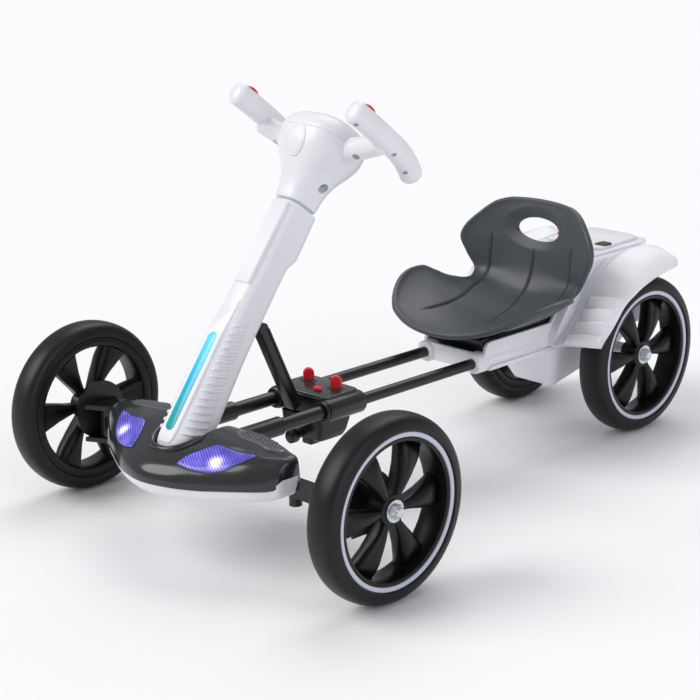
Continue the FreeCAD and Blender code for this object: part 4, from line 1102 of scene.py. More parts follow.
def from_above(x, y):
    """A place well above (x, y), where a ray down starts."""
    return kart(x, y, 400)


def bead(path, radius, steps=10):
    """A round bead along a path of places."""
    rings = []
    for i, here in enumerate(path):
        ahead = (path[min(i + 1, len(path) - 1)] - path[max(i - 1, 0)]).normalized()
        side = ahead.cross(Vector((0, 0, 1))).normalized()
        lift = side.cross(ahead)
        rings.append([here + (side * math.cos(2 * math.pi * k / steps)
                              + lift * math.sin(2 * math.pi * k / steps))
                      * radius * MM for k in range(steps)])
    return skin(rings)


COLLAR_RADIUS = 4.2
COLLAR_LIFT = 0.2
collar_path = []
for step in range(49):
    angle = math.pi * (1.06 + 0.88 * step / 48)
    x = 34.5 * math.copysign(abs(math.cos(angle)) ** 0.8, math.cos(angle))
    y = -58 + 45 * math.sin(angle)
    collar_path.append(laid(pod_tree, from_above(x, y), DOWN, COLLAR_LIFT))
piece("pod_collar", *bead(collar_path, COLLAR_RADIUS), charcoal_abs, "front_frame", slot="pod_charcoal")
print("collar places", len(collar_path))

# %% [markdown]
# Each horn of the pod carries a headlamp in front and a footrest behind. Both are thin patches with
# a curved outline that lie on the pod. Cutting them out of the pod's own faces would tie their
# outline to its grid. Laid by rays instead, each patch has an outline of its own, and a profile says
# how far it stands out from its rim to its middle. The footrest's grip is a field of low studs.

# %% Outlines on the pod
# The outlines of the left lamp and the left footrest, seen from above.
LAMP_OUTLINE = [(41.5, -110.5), (48, -93), (66, -68.5), (84, -66), (101, -63), (121, -57.5), (113, -73),
                (99, -88), (80, -100.5), (58, -108.5)]
FOOTREST_OUTLINE = [(58, -31), (66, -17), (88, -12.5), (112, -16), (133, -24.5), (138, -33), (120, -39),
                    (95, -39), (72, -40)]


def finer_outline(corners, steps=5):
    """A closed outline made finer along a soft curve."""
    ring = [np.array(c, float) for c in corners]
    points = []
    count = len(ring)
    for i in range(count):
        a, b, c, d = ring[i - 1], ring[i], ring[(i + 1) % count], ring[(i + 2) % count]
        for t in np.arange(steps) / steps:
            curve = 0.5 * (2 * b + (c - a) * t + (2 * a - 5 * b + 4 * c - d) * t ** 2
                           + (3 * b - a - 3 * c + d) * t ** 3)
            points.append(tuple(b * (1 - t) + c * t + (curve - b * (1 - t) - c * t) * 0.6))
    return points


# Each profile runs from the rim to the middle: share of the outline, lift.
LAMP_LIFTS = [(1.0, -1.5), (1.0, 0.5), (0.985, 1.1), (0.955, 1.4), (0.9, 1.6)]
LAMP_LIFTS += [(0.1 * k, 1.8) for k in range(8, 0, -1)]
SEAT_LIFTS = [(1.09, -1.2), (1.075, 0.3), (1.03, 0.45), (1.0, 0.2), (0.99, -1.0)]
FOOTREST_LIFTS = [(1.0, -1.5), (1.0, 0.3), (0.97, 0.7), (0.8, 0.8), (0.55, 0.8), (0.3, 0.8), (0.1, 0.8)]


def inside(outline, x, y):
    """Whether a place lies inside an outline, by counting its crossings."""
    crossed = False
    for (ax, ay), (bx, by) in zip(outline, outline[1:] + outline[:1]):
        if (ay > y) != (by > y) and x < (bx - ax) * (y - ay) / (by - ay) + ax:
            crossed = not crossed
    return crossed


def stud():
    """A low round stud, 4 mm across."""
    rings = []
    for height, radius in ((-0.6, 2.0), (0.4, 1.9), (1.0, 1.3), (1.25, 0.5)):
        rings.append([Vector((radius * math.cos(math.pi * k / 4), radius * math.sin(math.pi * k / 4),
                              height)) * MM for k in range(8)])
    return skin(rings)


print("points on a lamp's outline", len(finer_outline(LAMP_OUTLINE)))

# %% Headlamps and footrests
SIDES = (("left", 1), ("right", -1))
STUD_PITCH = 4.9
STUD_ROW = 4.3
STUD_LIFT = 0.8


def stud_places(outline, side):
    """Places for studs in staggered rows, inside an outline that is drawn in a little."""
    shrunk = [(98 * side + (x - 98 * side) * 0.9, -27 + (y + 27) * 0.82) for x, y in outline]
    places = []
    for row in range(8):
        for column in range(20):
            x = side * (52 + (column + (row % 2) / 2) * STUD_PITCH)
            y = -46 + row * STUD_ROW
            if inside(shrunk, x, y):
                places.append(laid(pod_tree, from_above(x, y), DOWN, STUD_LIFT))
    return places


for name, side in SIDES:
    lamp_outline = [(x * side, y) for x, y in finer_outline(LAMP_OUTLINE)]
    points, faces = laid_patch(pod_tree, from_above, DOWN, lamp_outline, LAMP_LIFTS)
    piece("headlamp_" + name, points, faces, violet_lamp_glass, "front_frame")
    points, faces = laid_patch(pod_tree, from_above, DOWN, lamp_outline, SEAT_LIFTS)
    piece("headlamp_surround_" + name, points, faces, black_abs, "front_frame", slot="pod_charcoal")
    footrest_outline = [(x * side, y) for x, y in finer_outline(FOOTREST_OUTLINE)]
    plate = laid_patch(pod_tree, from_above, DOWN, footrest_outline, FOOTREST_LIFTS)
    places = stud_places(footrest_outline, side)
    # The plate and its studs take the paler grey, painted highlight for the glints on the studs.
    points, faces = gathered(plate, units_on("studs", stud(), places, studs_painted_glint))
    piece("footrest_studs_" + name, points, faces, studs_painted_glint, "front_frame", slot="pod_charcoal")
print("studs on a footrest", len(places))

# %% [markdown]
# The steering column is a hollow white moulding that leans back. It is a skin over rounded
# rectangles along its own line: they swell at the foot, and step out at the collar under the
# panel. A bent box would need a modifier to lean, where here each ring is placed leaning at once.

# %% Column
# Each station: along, centre, width, depth, corner.
COLUMN_STATIONS = [(-24, -4, 26, 34, 12), (-21, -4, 38, 46, 16), (-15, -4, 46, 54, 18),
                   (-6, -4, 49, 57.5, 18), (10, -4, 50, 58, 18), (60, -6, 47, 55, 17),
                   (130, -8.5, 43, 51.5, 15), (200, -7.6, 42, 47, 14), (238, -7.2, 41.5, 46, 14),
                   (246, -6.6, 41.5, 47.6, 14), (258, -3.4, 41, 54, 14), (266, -3.0, 41, 54.6, 14),
                   (300, -3.0, 40, 54, 14), (316, -3.2, 40, 53.4, 14), (318, -3.2, 39, 52.4, 13.5)]
column_shell = skin([column_ring(*row, steps=8) for row in smooth_row(COLUMN_STATIONS, 4)])
piece("column_moulding", *column_shell, white_abs, "column_body", ["column"], "white_plastic", sharp=38)
print("column points", len(column_shell[0]), "lean", round(math.degrees(LEAN), 1), "degrees")

# %% [markdown]
# A raised strip runs down the column's front, frames the light bar, and fades out above it. Higher
# up lies a smooth raised panel, kept plain. Both follow the column's front, so their rings are
# measured from the front of the stations above, and the light bar has two round ends.

# %% Strip, panel and light bar
STRIP_PROUD = 1.4
PANEL_PROUD = 2.6
# Each station: along, half width, share of the height.
STRIP_STATIONS = [(-12, 9, 1), (-6, 12.5, 1), (4, 13.4, 1), (60, 13.4, 1), (130, 12.9, 1), (150, 12.4, 0.8),
                  (172, 12.0, 0.1), (180, 11.8, -0.4)]
PANEL_STATIONS = [(203, 12.4, 0.7), (204.5, 13.2, 1), (260, 13.2, 1), (314, 13.2, 1), (315.5, 12.6, 0.7)]


def column_front(along):
    """How far back the column's front lies, at a place along it."""
    table = np.array(COLUMN_STATIONS, float)
    centre = np.interp(along, table[:, 0], table[:, 1])
    return centre - np.interp(along, table[:, 0], table[:, 3]) / 2


def front_strip(stations, proud):
    """A raised strip with chamfered edges on the column's front."""
    rings = []
    for along, half, share in stations:
        front = column_front(along)
        face = front - proud * share
        step = front - (proud - 1.2) * share
        outline = ((-half, front + 6), (-half, step), (-half + 1.2, face), (half - 1.2, face), (half, step),
                   (half, front + 6))
        rings.append([on_column(x, along, back) for x, back in outline])
    return skin(rings)


points, faces = gathered(front_strip(STRIP_STATIONS, STRIP_PROUD), front_strip(PANEL_STATIONS, PANEL_PROUD))
piece("column_front_strip", points, faces, white_abs, "column_body", ["column_panel"], "white_plastic",
      sharp=30)


def capsule_bar(start, end, half, low, high):
    """A bar with round ends on the column's front."""
    outline = []
    for step in range(13):
        angle = math.pi * step / 12
        outline.append((half * math.cos(angle), end - half + half * math.sin(angle)))
    for step in range(13):
        angle = math.pi * (1 + step / 12)
        outline.append((half * math.cos(angle), start + half + half * math.sin(angle)))
    rings = []
    for back_shift, shrink in ((low, 1.0), (high + 0.7, 1.0), (high, 0.82)):
        ring = []
        for x, along in outline:
            middle = min(max(along, start + half), end - half)
            back = column_front(along) - STRIP_PROUD + back_shift
            ring.append(on_column(x * shrink, middle + (along - middle) * shrink, back))
        rings.append(ring)
    return skin(rings)


light_tube = capsule_bar(3, 133, 7.2, 4.0, -1.3)
piece("light_bar", *light_tube, cyan_light_bar, "column_body", ["led_strip"], "led_cyan", sharp=30)
light_frame = capsule_bar(1.2, 134.8, 9.0, 4.0, -0.5)
piece("light_bar_frame", *light_frame, white_abs, "column_body", slot="white_plastic", sharp=30)
print("light bar points", len(light_tube[0]))

# %% [markdown]
# A field of ribs stiffens each flank of the column. Each is a low bar, blunt in front and tapered
# behind, a little smaller than the one below. The tree copies one flat rib up the field. Then each
# point of the copies is laid on the flank by a ray, with the rib's height as its lift, so the ribs
# follow the column's round corner. Straight copies would sink there, or float.

# %% Ribs
def flat_rib(length=31.0):
    """One rib of the column's side, laid flat: height, along and back are its x, y and z."""
    rings = []
    for step in range(17):
        share = step / 16
        ends = math.sqrt(max(0.0, 1 - (2 * share - 1) ** 8))
        tall = 2.5 * ends + 0.05
        proud = (3.3 - 1.3 * share ** 2) * ends + 0.05
        ring = []
        for k in range(12):
            angle = 2 * math.pi * k / 12
            height = proud * math.copysign(abs(math.cos(angle)) ** 0.6, math.cos(angle))
            ring.append(Vector((max(height, -1.5), 0.36 * length * share + tall * math.sin(angle),
                                length * share)) * MM)
        rings.append(ring)
    return skin(rings)


RIB_COUNT = 16
RIB_PITCH = 9.5
RIB_FRONT = -30.0
column_tree = surface_tree(column_shell)
flat_ribs = copies("ribs", flat_rib(), RIB_COUNT, white_abs, step=(0, RIB_PITCH * MM, 0),
                   grow=(-0.012, 0.0, -0.017))
for name, side in SIDES:
    points = []
    for flat in flat_ribs[0]:
        height, along, back = flat / MM
        from_side = on_column(side * 90, 5 + along, RIB_FRONT + back)
        points.append(laid(column_tree, from_side, Vector((-side, 0, 0)), height))
    piece("column_ribs_" + name, points, flat_ribs[1], white_abs, "column_body", slot="white_plastic")
print("ribs on a side", RIB_COUNT)

# %% [markdown]
# The steering head widens from a neck into a rounded box, with an arm to each side. It is a skin
# over rings, with one fine step back where its two halves meet. The arms are round, thick at the
# head. A remesh could melt them into one, but real mouldings meet in a crisp line as these do.

# %% Head and arms
HEAD_STATIONS = [(321, -7, 44, 47, 16), (323, -7, 46.5, 49.5, 17), (336, -7.5, 50, 53, 19),
                 (350, -8.5, 57, 60, 23), (364, -9.5, 71, 69, 27), (378, -10, 91, 81, 33),
                 (392, -10, 104, 90, 36), (404, -10, 106.4, 93, 37), (407.2, -10, 106.4, 93, 37),
                 (408, -10, 104.4, 91, 36), (408.8, -10, 106, 92.6, 37), (417, -10, 103, 90, 36),
                 (426, -10, 92, 80, 34), (432, -10, 74, 62, 28), (435, -10, 46, 36, 17),
                 (435.8, -10, 20, 14, 6)]
head_shell = skin([column_ring(*row, steps=9) for row in smooth_row(HEAD_STATIONS, 4)])


def tube_between(start, stop, radii, steps=28):
    """A round arm whose radius changes along the way."""
    ahead = (stop - start).normalized()
    side = ahead.cross(Vector((0, 0, 1))).normalized()
    lift = side.cross(ahead)
    rings = []
    for share, radius in radii:
        here = start.lerp(stop, share)
        rings.append([here + (side * math.cos(2 * math.pi * k / steps)
                              + lift * math.sin(2 * math.pi * k / steps))
                      * radius * MM for k in range(steps)])
    return skin(rings)


ARM_RADII = [(0.0, 17.5), (0.2, 16.6), (0.45, 14.6), (0.8, 13.6), (1.0, 13.4)]
arms = []
for side in (1, -1):
    start = on_column(side * 34, 399, -8)
    stop = on_column(side * 102, 414, -19)
    arms.append(tube_between(start, stop, ARM_RADII))
print("head points", len(head_shell[0]), "arm points", len(arms[0][0]))

# %% [markdown]
# Screws hold the two halves of the head and of each grip. They stand at the bottom of round cups,
# which show as small dark eyes. A painted dot would do from afar, but the cup's shadow moves with
# the light, so each cup is cut out of the moulding and a domed screw is set in it.


# %% Screws in their cups
# A screw fills this share of its cup, and a cup is this many of its radii deep.
SCREW_SHARE = 0.62
CUP_DEPTH = 1.5


def screw_cup(place, way, radius):
    """The tool that sinks a screw's cup: a rod from outside to the cup's bottom."""
    way = Vector(way).normalized()
    return tube_between(place + way * 12 * MM, place - way * (radius * CUP_DEPTH) * MM,
                        [(0.0, radius), (0.96, radius), (1.0, radius * 0.8)], 24)


def screw_head(place, way, radius):
    """A small domed screw at the bottom of its recess."""
    way = Vector(way).normalized()
    deep = radius / SCREW_SHARE * CUP_DEPTH
    return tube_between(place - way * (deep + 0.4) * MM, place - way * (deep - 2.4) * MM,
                        [(0.0, radius), (0.6, radius), (0.9, radius * 0.8), (1.0, radius * 0.3)], 20)


# Each screw: place on the left half, the way it faces, the cup's radius.
HEAD_SCREWS = [((27.0, 147.0, 422.5), (0.72, -0.6, -0.3), 6.6)]
ARM_SCREWS = [((70.5, 160.5, 464.6), (0.5, -0.75, -0.42), 4.8)]
GRIP_SCREWS = [((107.2, 123.8, 512.5), (0.6, -0.6, -0.5), 3.3),
               ((110.5, 184.7, 468.8), (0.7, -0.55, -0.45), 3.3),
               ((108.5, 206.1, 443.5), (0.55, -0.7, -0.45), 3.3)]


def sunk(part, screws, sides):
    """A part with its screw recesses cut, and the screws that stand in them."""
    cups = []
    heads = []
    for side in sides:
        for place, way, radius in screws:
            here = kart(side * place[0], place[1], place[2])
            faced = (side * way[0], way[1], way[2])
            cups.append(screw_cup(here, faced, radius))
            heads.append(screw_head(here, faced, radius * SCREW_SHARE))
    mesh = cut_away(closed_mesh("sunk", *part), cups)
    return ([v.co.copy() for v in mesh.vertices], [tuple(p.vertices) for p in mesh.polygons]), heads


cut_head, head_screws = sunk(head_shell, HEAD_SCREWS, (1, -1))
cut_arms = []
arm_screws = []
for side, arm in ((1, arms[0]), (-1, arms[1])):
    cut_arm, screws = sunk(arm, ARM_SCREWS, (side,))
    cut_arms.append(cut_arm)
    arm_screws += screws
points, faces = gathered(cut_head, *cut_arms)
piece("head_moulding", points, faces, white_abs, "steering", ["steering_head"], "white_plastic", sharp=42)
print("head screws", len(head_screws), "arm screws", len(arm_screws))

# %% [markdown]
# The front of the head is finished with a plain oval cap in a shallow ring groove. It is laid on
# the head by rays, as the lamps are on the pod. A pale ring closes the gap between head and column.

# %% Cap and neck ring
head_tree = surface_tree(head_shell)
to_back = (on_column(0, 0, 1) - on_column(0, 0, 0)).normalized()


def before_head(x, along):
    """A place well before the head, where a ray towards it starts."""
    return on_column(x, along, -150)


cap_outline = [(15.5 * math.cos(math.pi * k / 24), 388 + 19.5 * math.sin(math.pi * k / 24))
               for k in range(48)]
CAP_LIFTS = [(1.0, -2.0), (1.0, 1.0), (0.97, 1.5), (0.9, 1.6), (0.87, 1.1), (0.84, 1.1), (0.81, 1.6),
             (0.6, 2.0), (0.3, 2.3), (0.05, 2.4)]
points, faces = laid_patch(head_tree, before_head, to_back, cap_outline, CAP_LIFTS)
piece("head_cap", points, faces, white_abs, "steering", slot="white_plastic", sharp=30)
neck = skin([column_ring(315, -5, 36, 42, 13), column_ring(323, -6, 36, 42, 13)])
piece("neck_ring", *neck, grey_abs, "steering", slot="white_plastic", sharp=35)
print("cap points", len(points))

# %% [markdown]
# The grips are short bars that run from front to back beside the head, flat in front, drooping and
# blunt behind, with a parting line. A curve with a bevel can't give the flat front, so each is a
# skin whose rings shrink fast at the ends. Two points of each ring are drawn in for the line. A
# red pad for the horn lies on top.

# %% Grip shape
GRIP_PATH = [(423, -86), (423.5, -60), (423.5, -34), (423, -8), (421, 18), (415.5, 38), (407, 56)]
GRIP_RADIUS = 14.4


def grip_shell(side):
    """A grip with a flat front face and a blunt rear end, with a fine parting groove along it."""
    path = [on_column(side * 102, along, back) for along, back in smooth_row(GRIP_PATH, 6)]
    front_end = [path[0] + (path[2] - path[0]) * share for share in (0.0, 0.03, 0.09, 0.18, 0.3, 0.48, 0.72)]
    rear_end = [path[-1] + (path[-2] - path[-1]) * share for share in (0.5, 0.2, 0.06, 0.0)]
    path = front_end + path[2:-1] + rear_end
    lengths = [0.0]
    for a, b in zip(path, path[1:]):
        lengths.append(lengths[-1] + (b - a).length / MM)
    total = lengths[-1]
    rings = []
    across = Vector((1, 0, 0))
    for i, here in enumerate(path):
        ahead = (path[min(i + 1, len(path) - 1)] - path[max(i - 1, 0)]).normalized()
        lift = across.cross(ahead).normalized()
        front = 1 - 0.42 * (1 - min(1.0, lengths[i] / 6.0)) ** 2.2
        rear = 1 - 0.34 * (1 - min(1.0, (total - lengths[i]) / 7.0)) ** 2
        size = GRIP_RADIUS * front * rear
        ring = []
        for k in range(40):
            angle = 2 * math.pi * k / 40
            seam = 0.55 if k in (1, 21) else 0.0
            ring.append(here + (across * math.cos(angle) * (size * 0.94 - seam)
                                + lift * math.sin(angle) * (size * 1.04 - seam)) * MM)
        rings.append(ring)
    return skin(rings)


print("grip radius", GRIP_RADIUS, "points", len(grip_shell(1)[0]))


# %% Grips and horn pads
def horn_pad(side):
    """A long low pad on the grip, round at both ends."""
    path = [on_column(side * 102, 436.0 + 1.6 * math.sin(math.pi * k / 12), -75 + 26 * k / 12)
            for k in range(13)]
    across = Vector((1, 0, 0)) * MM
    up = on_column(0, 1, 0) - on_column(0, 0, 0)
    rings = []
    for k, here in enumerate(path):
        grow = math.sqrt(max(0.03, 1 - (2 * k / 12 - 1) ** 2))
        rings.append([here + across * math.cos(2 * math.pi * j / 20) * 5.6 * grow
                      + up * math.sin(2 * math.pi * j / 20) * 4.4 * grow for j in range(20)])
    return skin(rings)


for name, side in SIDES:
    cut_grip, grip_screws = sunk(grip_shell(side), GRIP_SCREWS, (side,))
    piece("grip_moulding_" + name, *cut_grip, white_abs, "steering", ["grip_" + name], "white_plastic",
          sharp=40)
    piece("grip_screws_" + name, *gathered(*grip_screws), zinc_plate, "steering", slot="steel")
    piece("horn_pad_" + name, *horn_pad(side), red_abs, "steering", ["horn_button_" + name], "red_plastic")
piece("head_screws", *gathered(*head_screws, *arm_screws), zinc_plate, "steering", slot="steel")
print("screws", len(head_screws) + len(arm_screws) + 2 * len(grip_screws))

# %% [markdown]
# The clamp block locks the sliding rails. Two bushes go round the rails, a gloss plate with two dark
# slots covers the top, and each slot carries a red paddle. Below hangs a tapered box with the knob.
# Boxes with bevels and turned shapes are enough here. They overlap inside, as nothing shows there,
# where joining them with booleans would only add slivers.

# %% Clamp body
SOCKET_X = 42.8
RAIL_Z = 143.6


def oblong(x_low, x_high, y_low, y_high, radius):
    """A rectangle with round corners, from its four edges."""
    return rounded_outline([(x_low, y_low), (x_high, y_low), (x_high, y_high), (x_low, y_high)], radius)


def barrel_y(x, z, profile, steps=40):
    """A shape turned about a line from front to back: the profile holds (y, radius)."""
    rings = []
    for y, radius in profile:
        rings.append([kart(x + radius * math.cos(2 * math.pi * k / steps), y,
                           z + radius * math.sin(2 * math.pi * k / steps))
                      for k in range(steps)])
    return skin(rings)


BUSH_PROFILE = [(122.5, 12.4), (123.5, 13.4), (127.6, 13.6), (128.0, 14.8), (189.0, 15.0), (191.0, 14.2)]
clamp_parts = []
for side in (1, -1):
    clamp_parts.append(barrel_y(side * SOCKET_X, RAIL_Z, BUSH_PROFILE))
clamp_parts.append(block(oblong(-44, 44, 133, 158, 3), 128.5, 189.5, "y", 2.0))
piece("clamp_body", *gathered(*clamp_parts), black_abs, "front_frame", ["clamp_block"], "frame_black",
      sharp=35)
print("bushes at", SOCKET_X, "mm each side")

# %% Clamp plate and slots
top_plate = block(oblong(-46, 46, 129, 189, 9), 156.0, 161.2, "z", 2.2)
piece("clamp_top_plate", *top_plate, charcoal_abs, "front_frame", slot="frame_black", sharp=30)
# Each slot is a thin near-black sheet on the plate: painted shade for the slot's dark hollow.
slots = []
for middle_x in (25, -25):
    oval = [(middle_x + 13 * math.cos(math.pi * k / 16), 167 + 9.5 * math.sin(math.pi * k / 16))
            for k in range(32)]
    slots.append(block(oval, 160.6, 161.5, "z", 0.3, 2))
piece("clamp_slots", *gathered(*slots), slot_painted_shade, "front_frame", slot="frame_black", sharp=30)
print("slots", len(slots))

# %% Lower box and knob
# Each level: height, half width, front, rear, corner.
LOWER_LEVELS = [(130.0, 36.5, 128, 185, 5), (120.0, 36.0, 128.5, 184, 6), (106.0, 33.5, 130, 181, 7),
                (99.5, 31.0, 132, 178, 8), (97.5, 28.0, 135, 175, 8)]
rings = []
for height, half, front, rear, corner in LOWER_LEVELS:
    rings.append([kart(x, (front + rear) / 2 + y, height)
                  for x, y in rounded_rectangle(half, (rear - front) / 2, corner, 6)])
stub = block(oblong(-9, 9, 138, 160, 4), 88.0, 98.0, "z", 1.5)
points, faces = gathered(skin(rings), stub)
piece("clamp_lower_box", points, faces, black_abs, "front_frame", ["block_base"], "frame_black", sharp=35)
KNOB_PROFILE = [(108.0, 6.4), (109.4, 8.6), (112.6, 9.0), (118.5, 9.0), (120.0, 8.0), (121.0, 5.4),
                (130.0, 5.4)]
knob = barrel_y(0, 104.5, KNOB_PROFILE, 32)
piece("clamp_knob", *knob, black_abs, "front_frame", ["block_knob"], "frame_black", sharp=35)
print("lower box levels", len(LOWER_LEVELS), "knob", 2 * 9.0, "mm across")

# %% [markdown]
# Two red paddles and a round button work the lock. A paddle is a flat tab with a round top. It is
# drawn upright at the front axle, then swung about its own upright line and set in its slot. The
# two stand at different angles on the real clamp, one nearly sideways.

# %% Paddles and lock button
PADDLE_HALF = 7.2
PADDLE_SWINGS = (("left", 25.0, 32.0), ("right", -25.0, 52.0))
outline = [(-6.6, 0.0), (6.6, 0.0)]
outline += [(PADDLE_HALF * math.cos(math.pi * k / 14), 10.2 + PADDLE_HALF * math.sin(math.pi * k / 14))
            for k in range(15)]
paddle = block(outline, -3.6, 3.6, "y", 1.7, 4)
for name, middle_x, swing in PADDLE_SWINGS:
    swung = Matrix.Rotation(math.radians(swing), 4, "Z") @ Matrix.Translation(-kart(0, 0, 0))
    tab = moved(paddle, Matrix.Translation(kart(middle_x, 168, 160.4)) @ swung)
    piece("clamp_paddle_" + name, *tab, red_abs, "front_frame", ["lever_" + name], "red_plastic", sharp=40)
oval = [(14 + 6.4 * math.cos(math.pi * k / 14), 146 + 4.6 * math.sin(math.pi * k / 14)) for k in range(28)]
button = block(oval, 160.6, 165.8, "z", 1.8, 4)
piece("clamp_lock_button", *button, red_abs, "front_frame", ["lock_button"], "red_plastic", sharp=40)
print("paddles", len(PADDLE_SWINGS))

# %% [markdown]
# The strut is a slim pressed channel with a groove down each side. It hangs from a pin behind the
# column and folds up against it. It is a flat core with two rims on each face, drawn in the
# strut's own plane, so the grooves are real steps that catch the light.

# %% Strut
STRUT_TOP = np.array((64.4, 255.2))
STRUT_FOOT = np.array((118.5, 141.5))
STRUT_LENGTH = np.linalg.norm(STRUT_FOOT - STRUT_TOP)
STRUT_AHEAD = (STRUT_FOOT - STRUT_TOP) / STRUT_LENGTH
STRUT_ASIDE = np.array((STRUT_AHEAD[1], -STRUT_AHEAD[0]))


def along_strut(start, stop, low, high):
    """A rectangle in the strut's plane: from start to stop below the pin, from low to high across."""
    return [tuple(STRUT_TOP + STRUT_AHEAD * down + STRUT_ASIDE * across)
            for down, across in ((start, low), (stop, low), (stop, high), (start, high))]


core_outline = rounded_outline(along_strut(-7.4, STRUT_LENGTH - 1.0, -7.4, 7.4), 5.0)
strut_parts = [block(core_outline, -6.6, 6.6, "x", 0.8)]
for side in (1, -1):
    low_x, high_x = sorted((side * 6.2, side * 7.9))
    for shift in (-5.6, 5.6):
        rim = along_strut(2, 120, shift - 1.7, shift + 1.7)
        strut_parts.append(block(rim, low_x, high_x, "x", 0.5, 2))
piece("strut_channel", *gathered(*strut_parts), powder_coat, "strut_body", ["strut"], "frame_black",
      sharp=35)
print("strut", round(STRUT_LENGTH, 1), "mm from pin to foot, parts", len(strut_parts))

# %% [markdown]
# The rear body is a set of white mouldings. The first is the carrier, which grips the two rails and
# bears the seat: a socket round each rail, a side plate and a flange on each side, and two webs.
# One outline with a hole per rail was the other way, but bevelled blocks show each wall's edge.

# %% Carrier
CARRIER_FRONT = 407.0
CARRIER_REAR = 562
carrier_parts = []
for side in (1, -1):
    socket = oblong(SOCKET_X * side - 14, SOCKET_X * side + 14, 130, 158, 12)
    carrier_parts.append(block(socket, CARRIER_FRONT, CARRIER_REAR, "y", 1.6))
    plate = rounded_outline([(418, 150), (424, 172, 9), (560, 172), (590, 205), (590, 150)], 3)
    inner, outer = sorted((side * 50.5, side * 55.5))
    carrier_parts.append(block(plate, inner, outer, "x", 1.2))
    flange = rounded_outline([(424, 133.5), (566, 133.5), (566, 138.5), (430, 138.5)], 2)
    inner, outer = sorted((side * 40.0, side * 60.0))
    carrier_parts.append(block(flange, inner, outer, "x", 1.0))
carrier_parts.append(block(oblong(-44, 44, 134, 158.5, 2), 410, 415, "y", 1.0))
carrier_parts.append(block(oblong(-52, 52, 412, 566, 3), 146, 152, "z", 1.0))
points, faces = gathered(*carrier_parts)
piece("carrier_moulding", points, faces, white_abs, "rear_frame", ["seat_carrier"], "white_plastic",
      sharp=35)
print("carrier parts", len(carrier_parts))

# %% [markdown]
# Behind the seat hangs a tub for the motor and battery, narrow below and wider under the deck, and
# above it rises a cover. The tub is a skin over level rings whose floor climbs towards the rear.
# The cover is one side outline drawn out across the kart, because its outline bends only that way.

# %% Tub and cover
# Tub levels: height, half width, front, rear, corner, rise of the floor towards the rear.
TUB_LEVELS = [(70.0, 30.0, 595, 735, 8, 0.2), (69.0, 36.0, 589, 741, 8, 0.2),
              (71.0, 38.6, 587, 744, 10, 0.2), (76.0, 41.5, 584.5, 747, 11, 0.19),
              (90.0, 48.0, 577, 752, 13, 0.16), (115.0, 54.0, 569, 760, 14, 0.08),
              (141.0, 58.0, 560, 768, 14, 0.0), (152.0, 59.0, 558, 770, 14, 0.0)]
rings = []
for height, half, front, rear, corner, rise in TUB_LEVELS:
    outline = rounded_rectangle(half, (rear - front) / 2, corner, 6)
    rings.append([kart(x, (front + rear) / 2 + y, height + rise * ((rear - front) / 2 + y))
                  for x, y in outline])
tub = skin(rings)
# The cover's side outline: y, z, radius of the corner.
COVER_OUTLINE = [(552, 140, 3), (556, 162, 8), (574, 186, 10), (592, 214, 10), (606, 238, 10),
                 (632, 250, 14), (760, 250, 20), (790, 236, 14), (792, 190, 20), (770, 140, 14)]
cover = block(rounded_outline(COVER_OUTLINE, 10), -70, 70, "x", 5.0)
piece("body_tub", *gathered(tub, cover), white_abs, "rear_frame", ["lower_body"], "white_plastic", sharp=38)
print("tub levels", len(TUB_LEVELS))

# %% [markdown]
# The deck is a thin lid on the cover, and the control panel a smaller lid on it. The panel is kept
# plain. It carries a rocker on a black bed, a round button and the charge door: bevelled blocks,
# each seated a little below the surface under it, so that no gap shows.

# %% Deck and panel
# Lids seen from above: x, y, radius of the corner.
DECK_OUTLINE = [(-58, 648, 16), (58, 648, 16), (58, 786, 22), (-58, 786, 22)]
PANEL_OUTLINE = [(-50, 672, 12), (50, 672, 12), (44, 776, 18), (-44, 776, 18)]
deck = block(rounded_outline(DECK_OUTLINE, 14, 8), 249.0, 254.0, "z", 2.4)
piece("deck_cover", *deck, white_abs, "rear_frame", ["rear_deck"], "white_plastic", sharp=35)
panel_plate = block(rounded_outline(PANEL_OUTLINE, 12, 8), 253.0, 259.0, "z", 3.4, 4)
piece("panel_plate", *panel_plate, white_abs, "rear_frame", ["control_panel"], "white_plastic", sharp=35)
print("deck and panel points", len(deck[0]), len(panel_plate[0]))

# %% Controls
switch_bed = block(oblong(-14, 8, 670, 686, 3), 253.0, 260.2, "z", 1.2)
piece("switch_bed", *switch_bed, black_abs, "rear_frame", slot="frame_black", sharp=35)
rocker = block(oblong(-11.5, 5.5, 672.5, 683.5, 1.5), 256.0, 262.2, "z", 1.4)
piece("power_rocker", *rocker, red_abs, "rear_frame", ["power_switch"], "red_plastic", sharp=35)
reset = [(-47 + 5.5 * math.cos(math.pi * k / 12), 706 + 5.5 * math.sin(math.pi * k / 12)) for k in range(24)]
piece("reset_button", *block(reset, 252.0, 261.0, "z", 1.6, 4), red_abs, "rear_frame", slot="red_plastic",
      sharp=35)
charge_door = block(oblong(30, 48, 684, 706, 5), 257.0, 260.4, "z", 1.0)
piece("charge_door", *charge_door, black_abs, "rear_frame", slot="frame_black", sharp=35)
print("controls on the panel", 3)

# %% [markdown]
# The seat stands in a dark tray between the carrier's side plates. Only its front lip shows. A copy
# of the seat's underside would fit it best but is far too fine, so the tray is a plain block whose
# points are held below the seat, by rays that look up at the seat's underside.

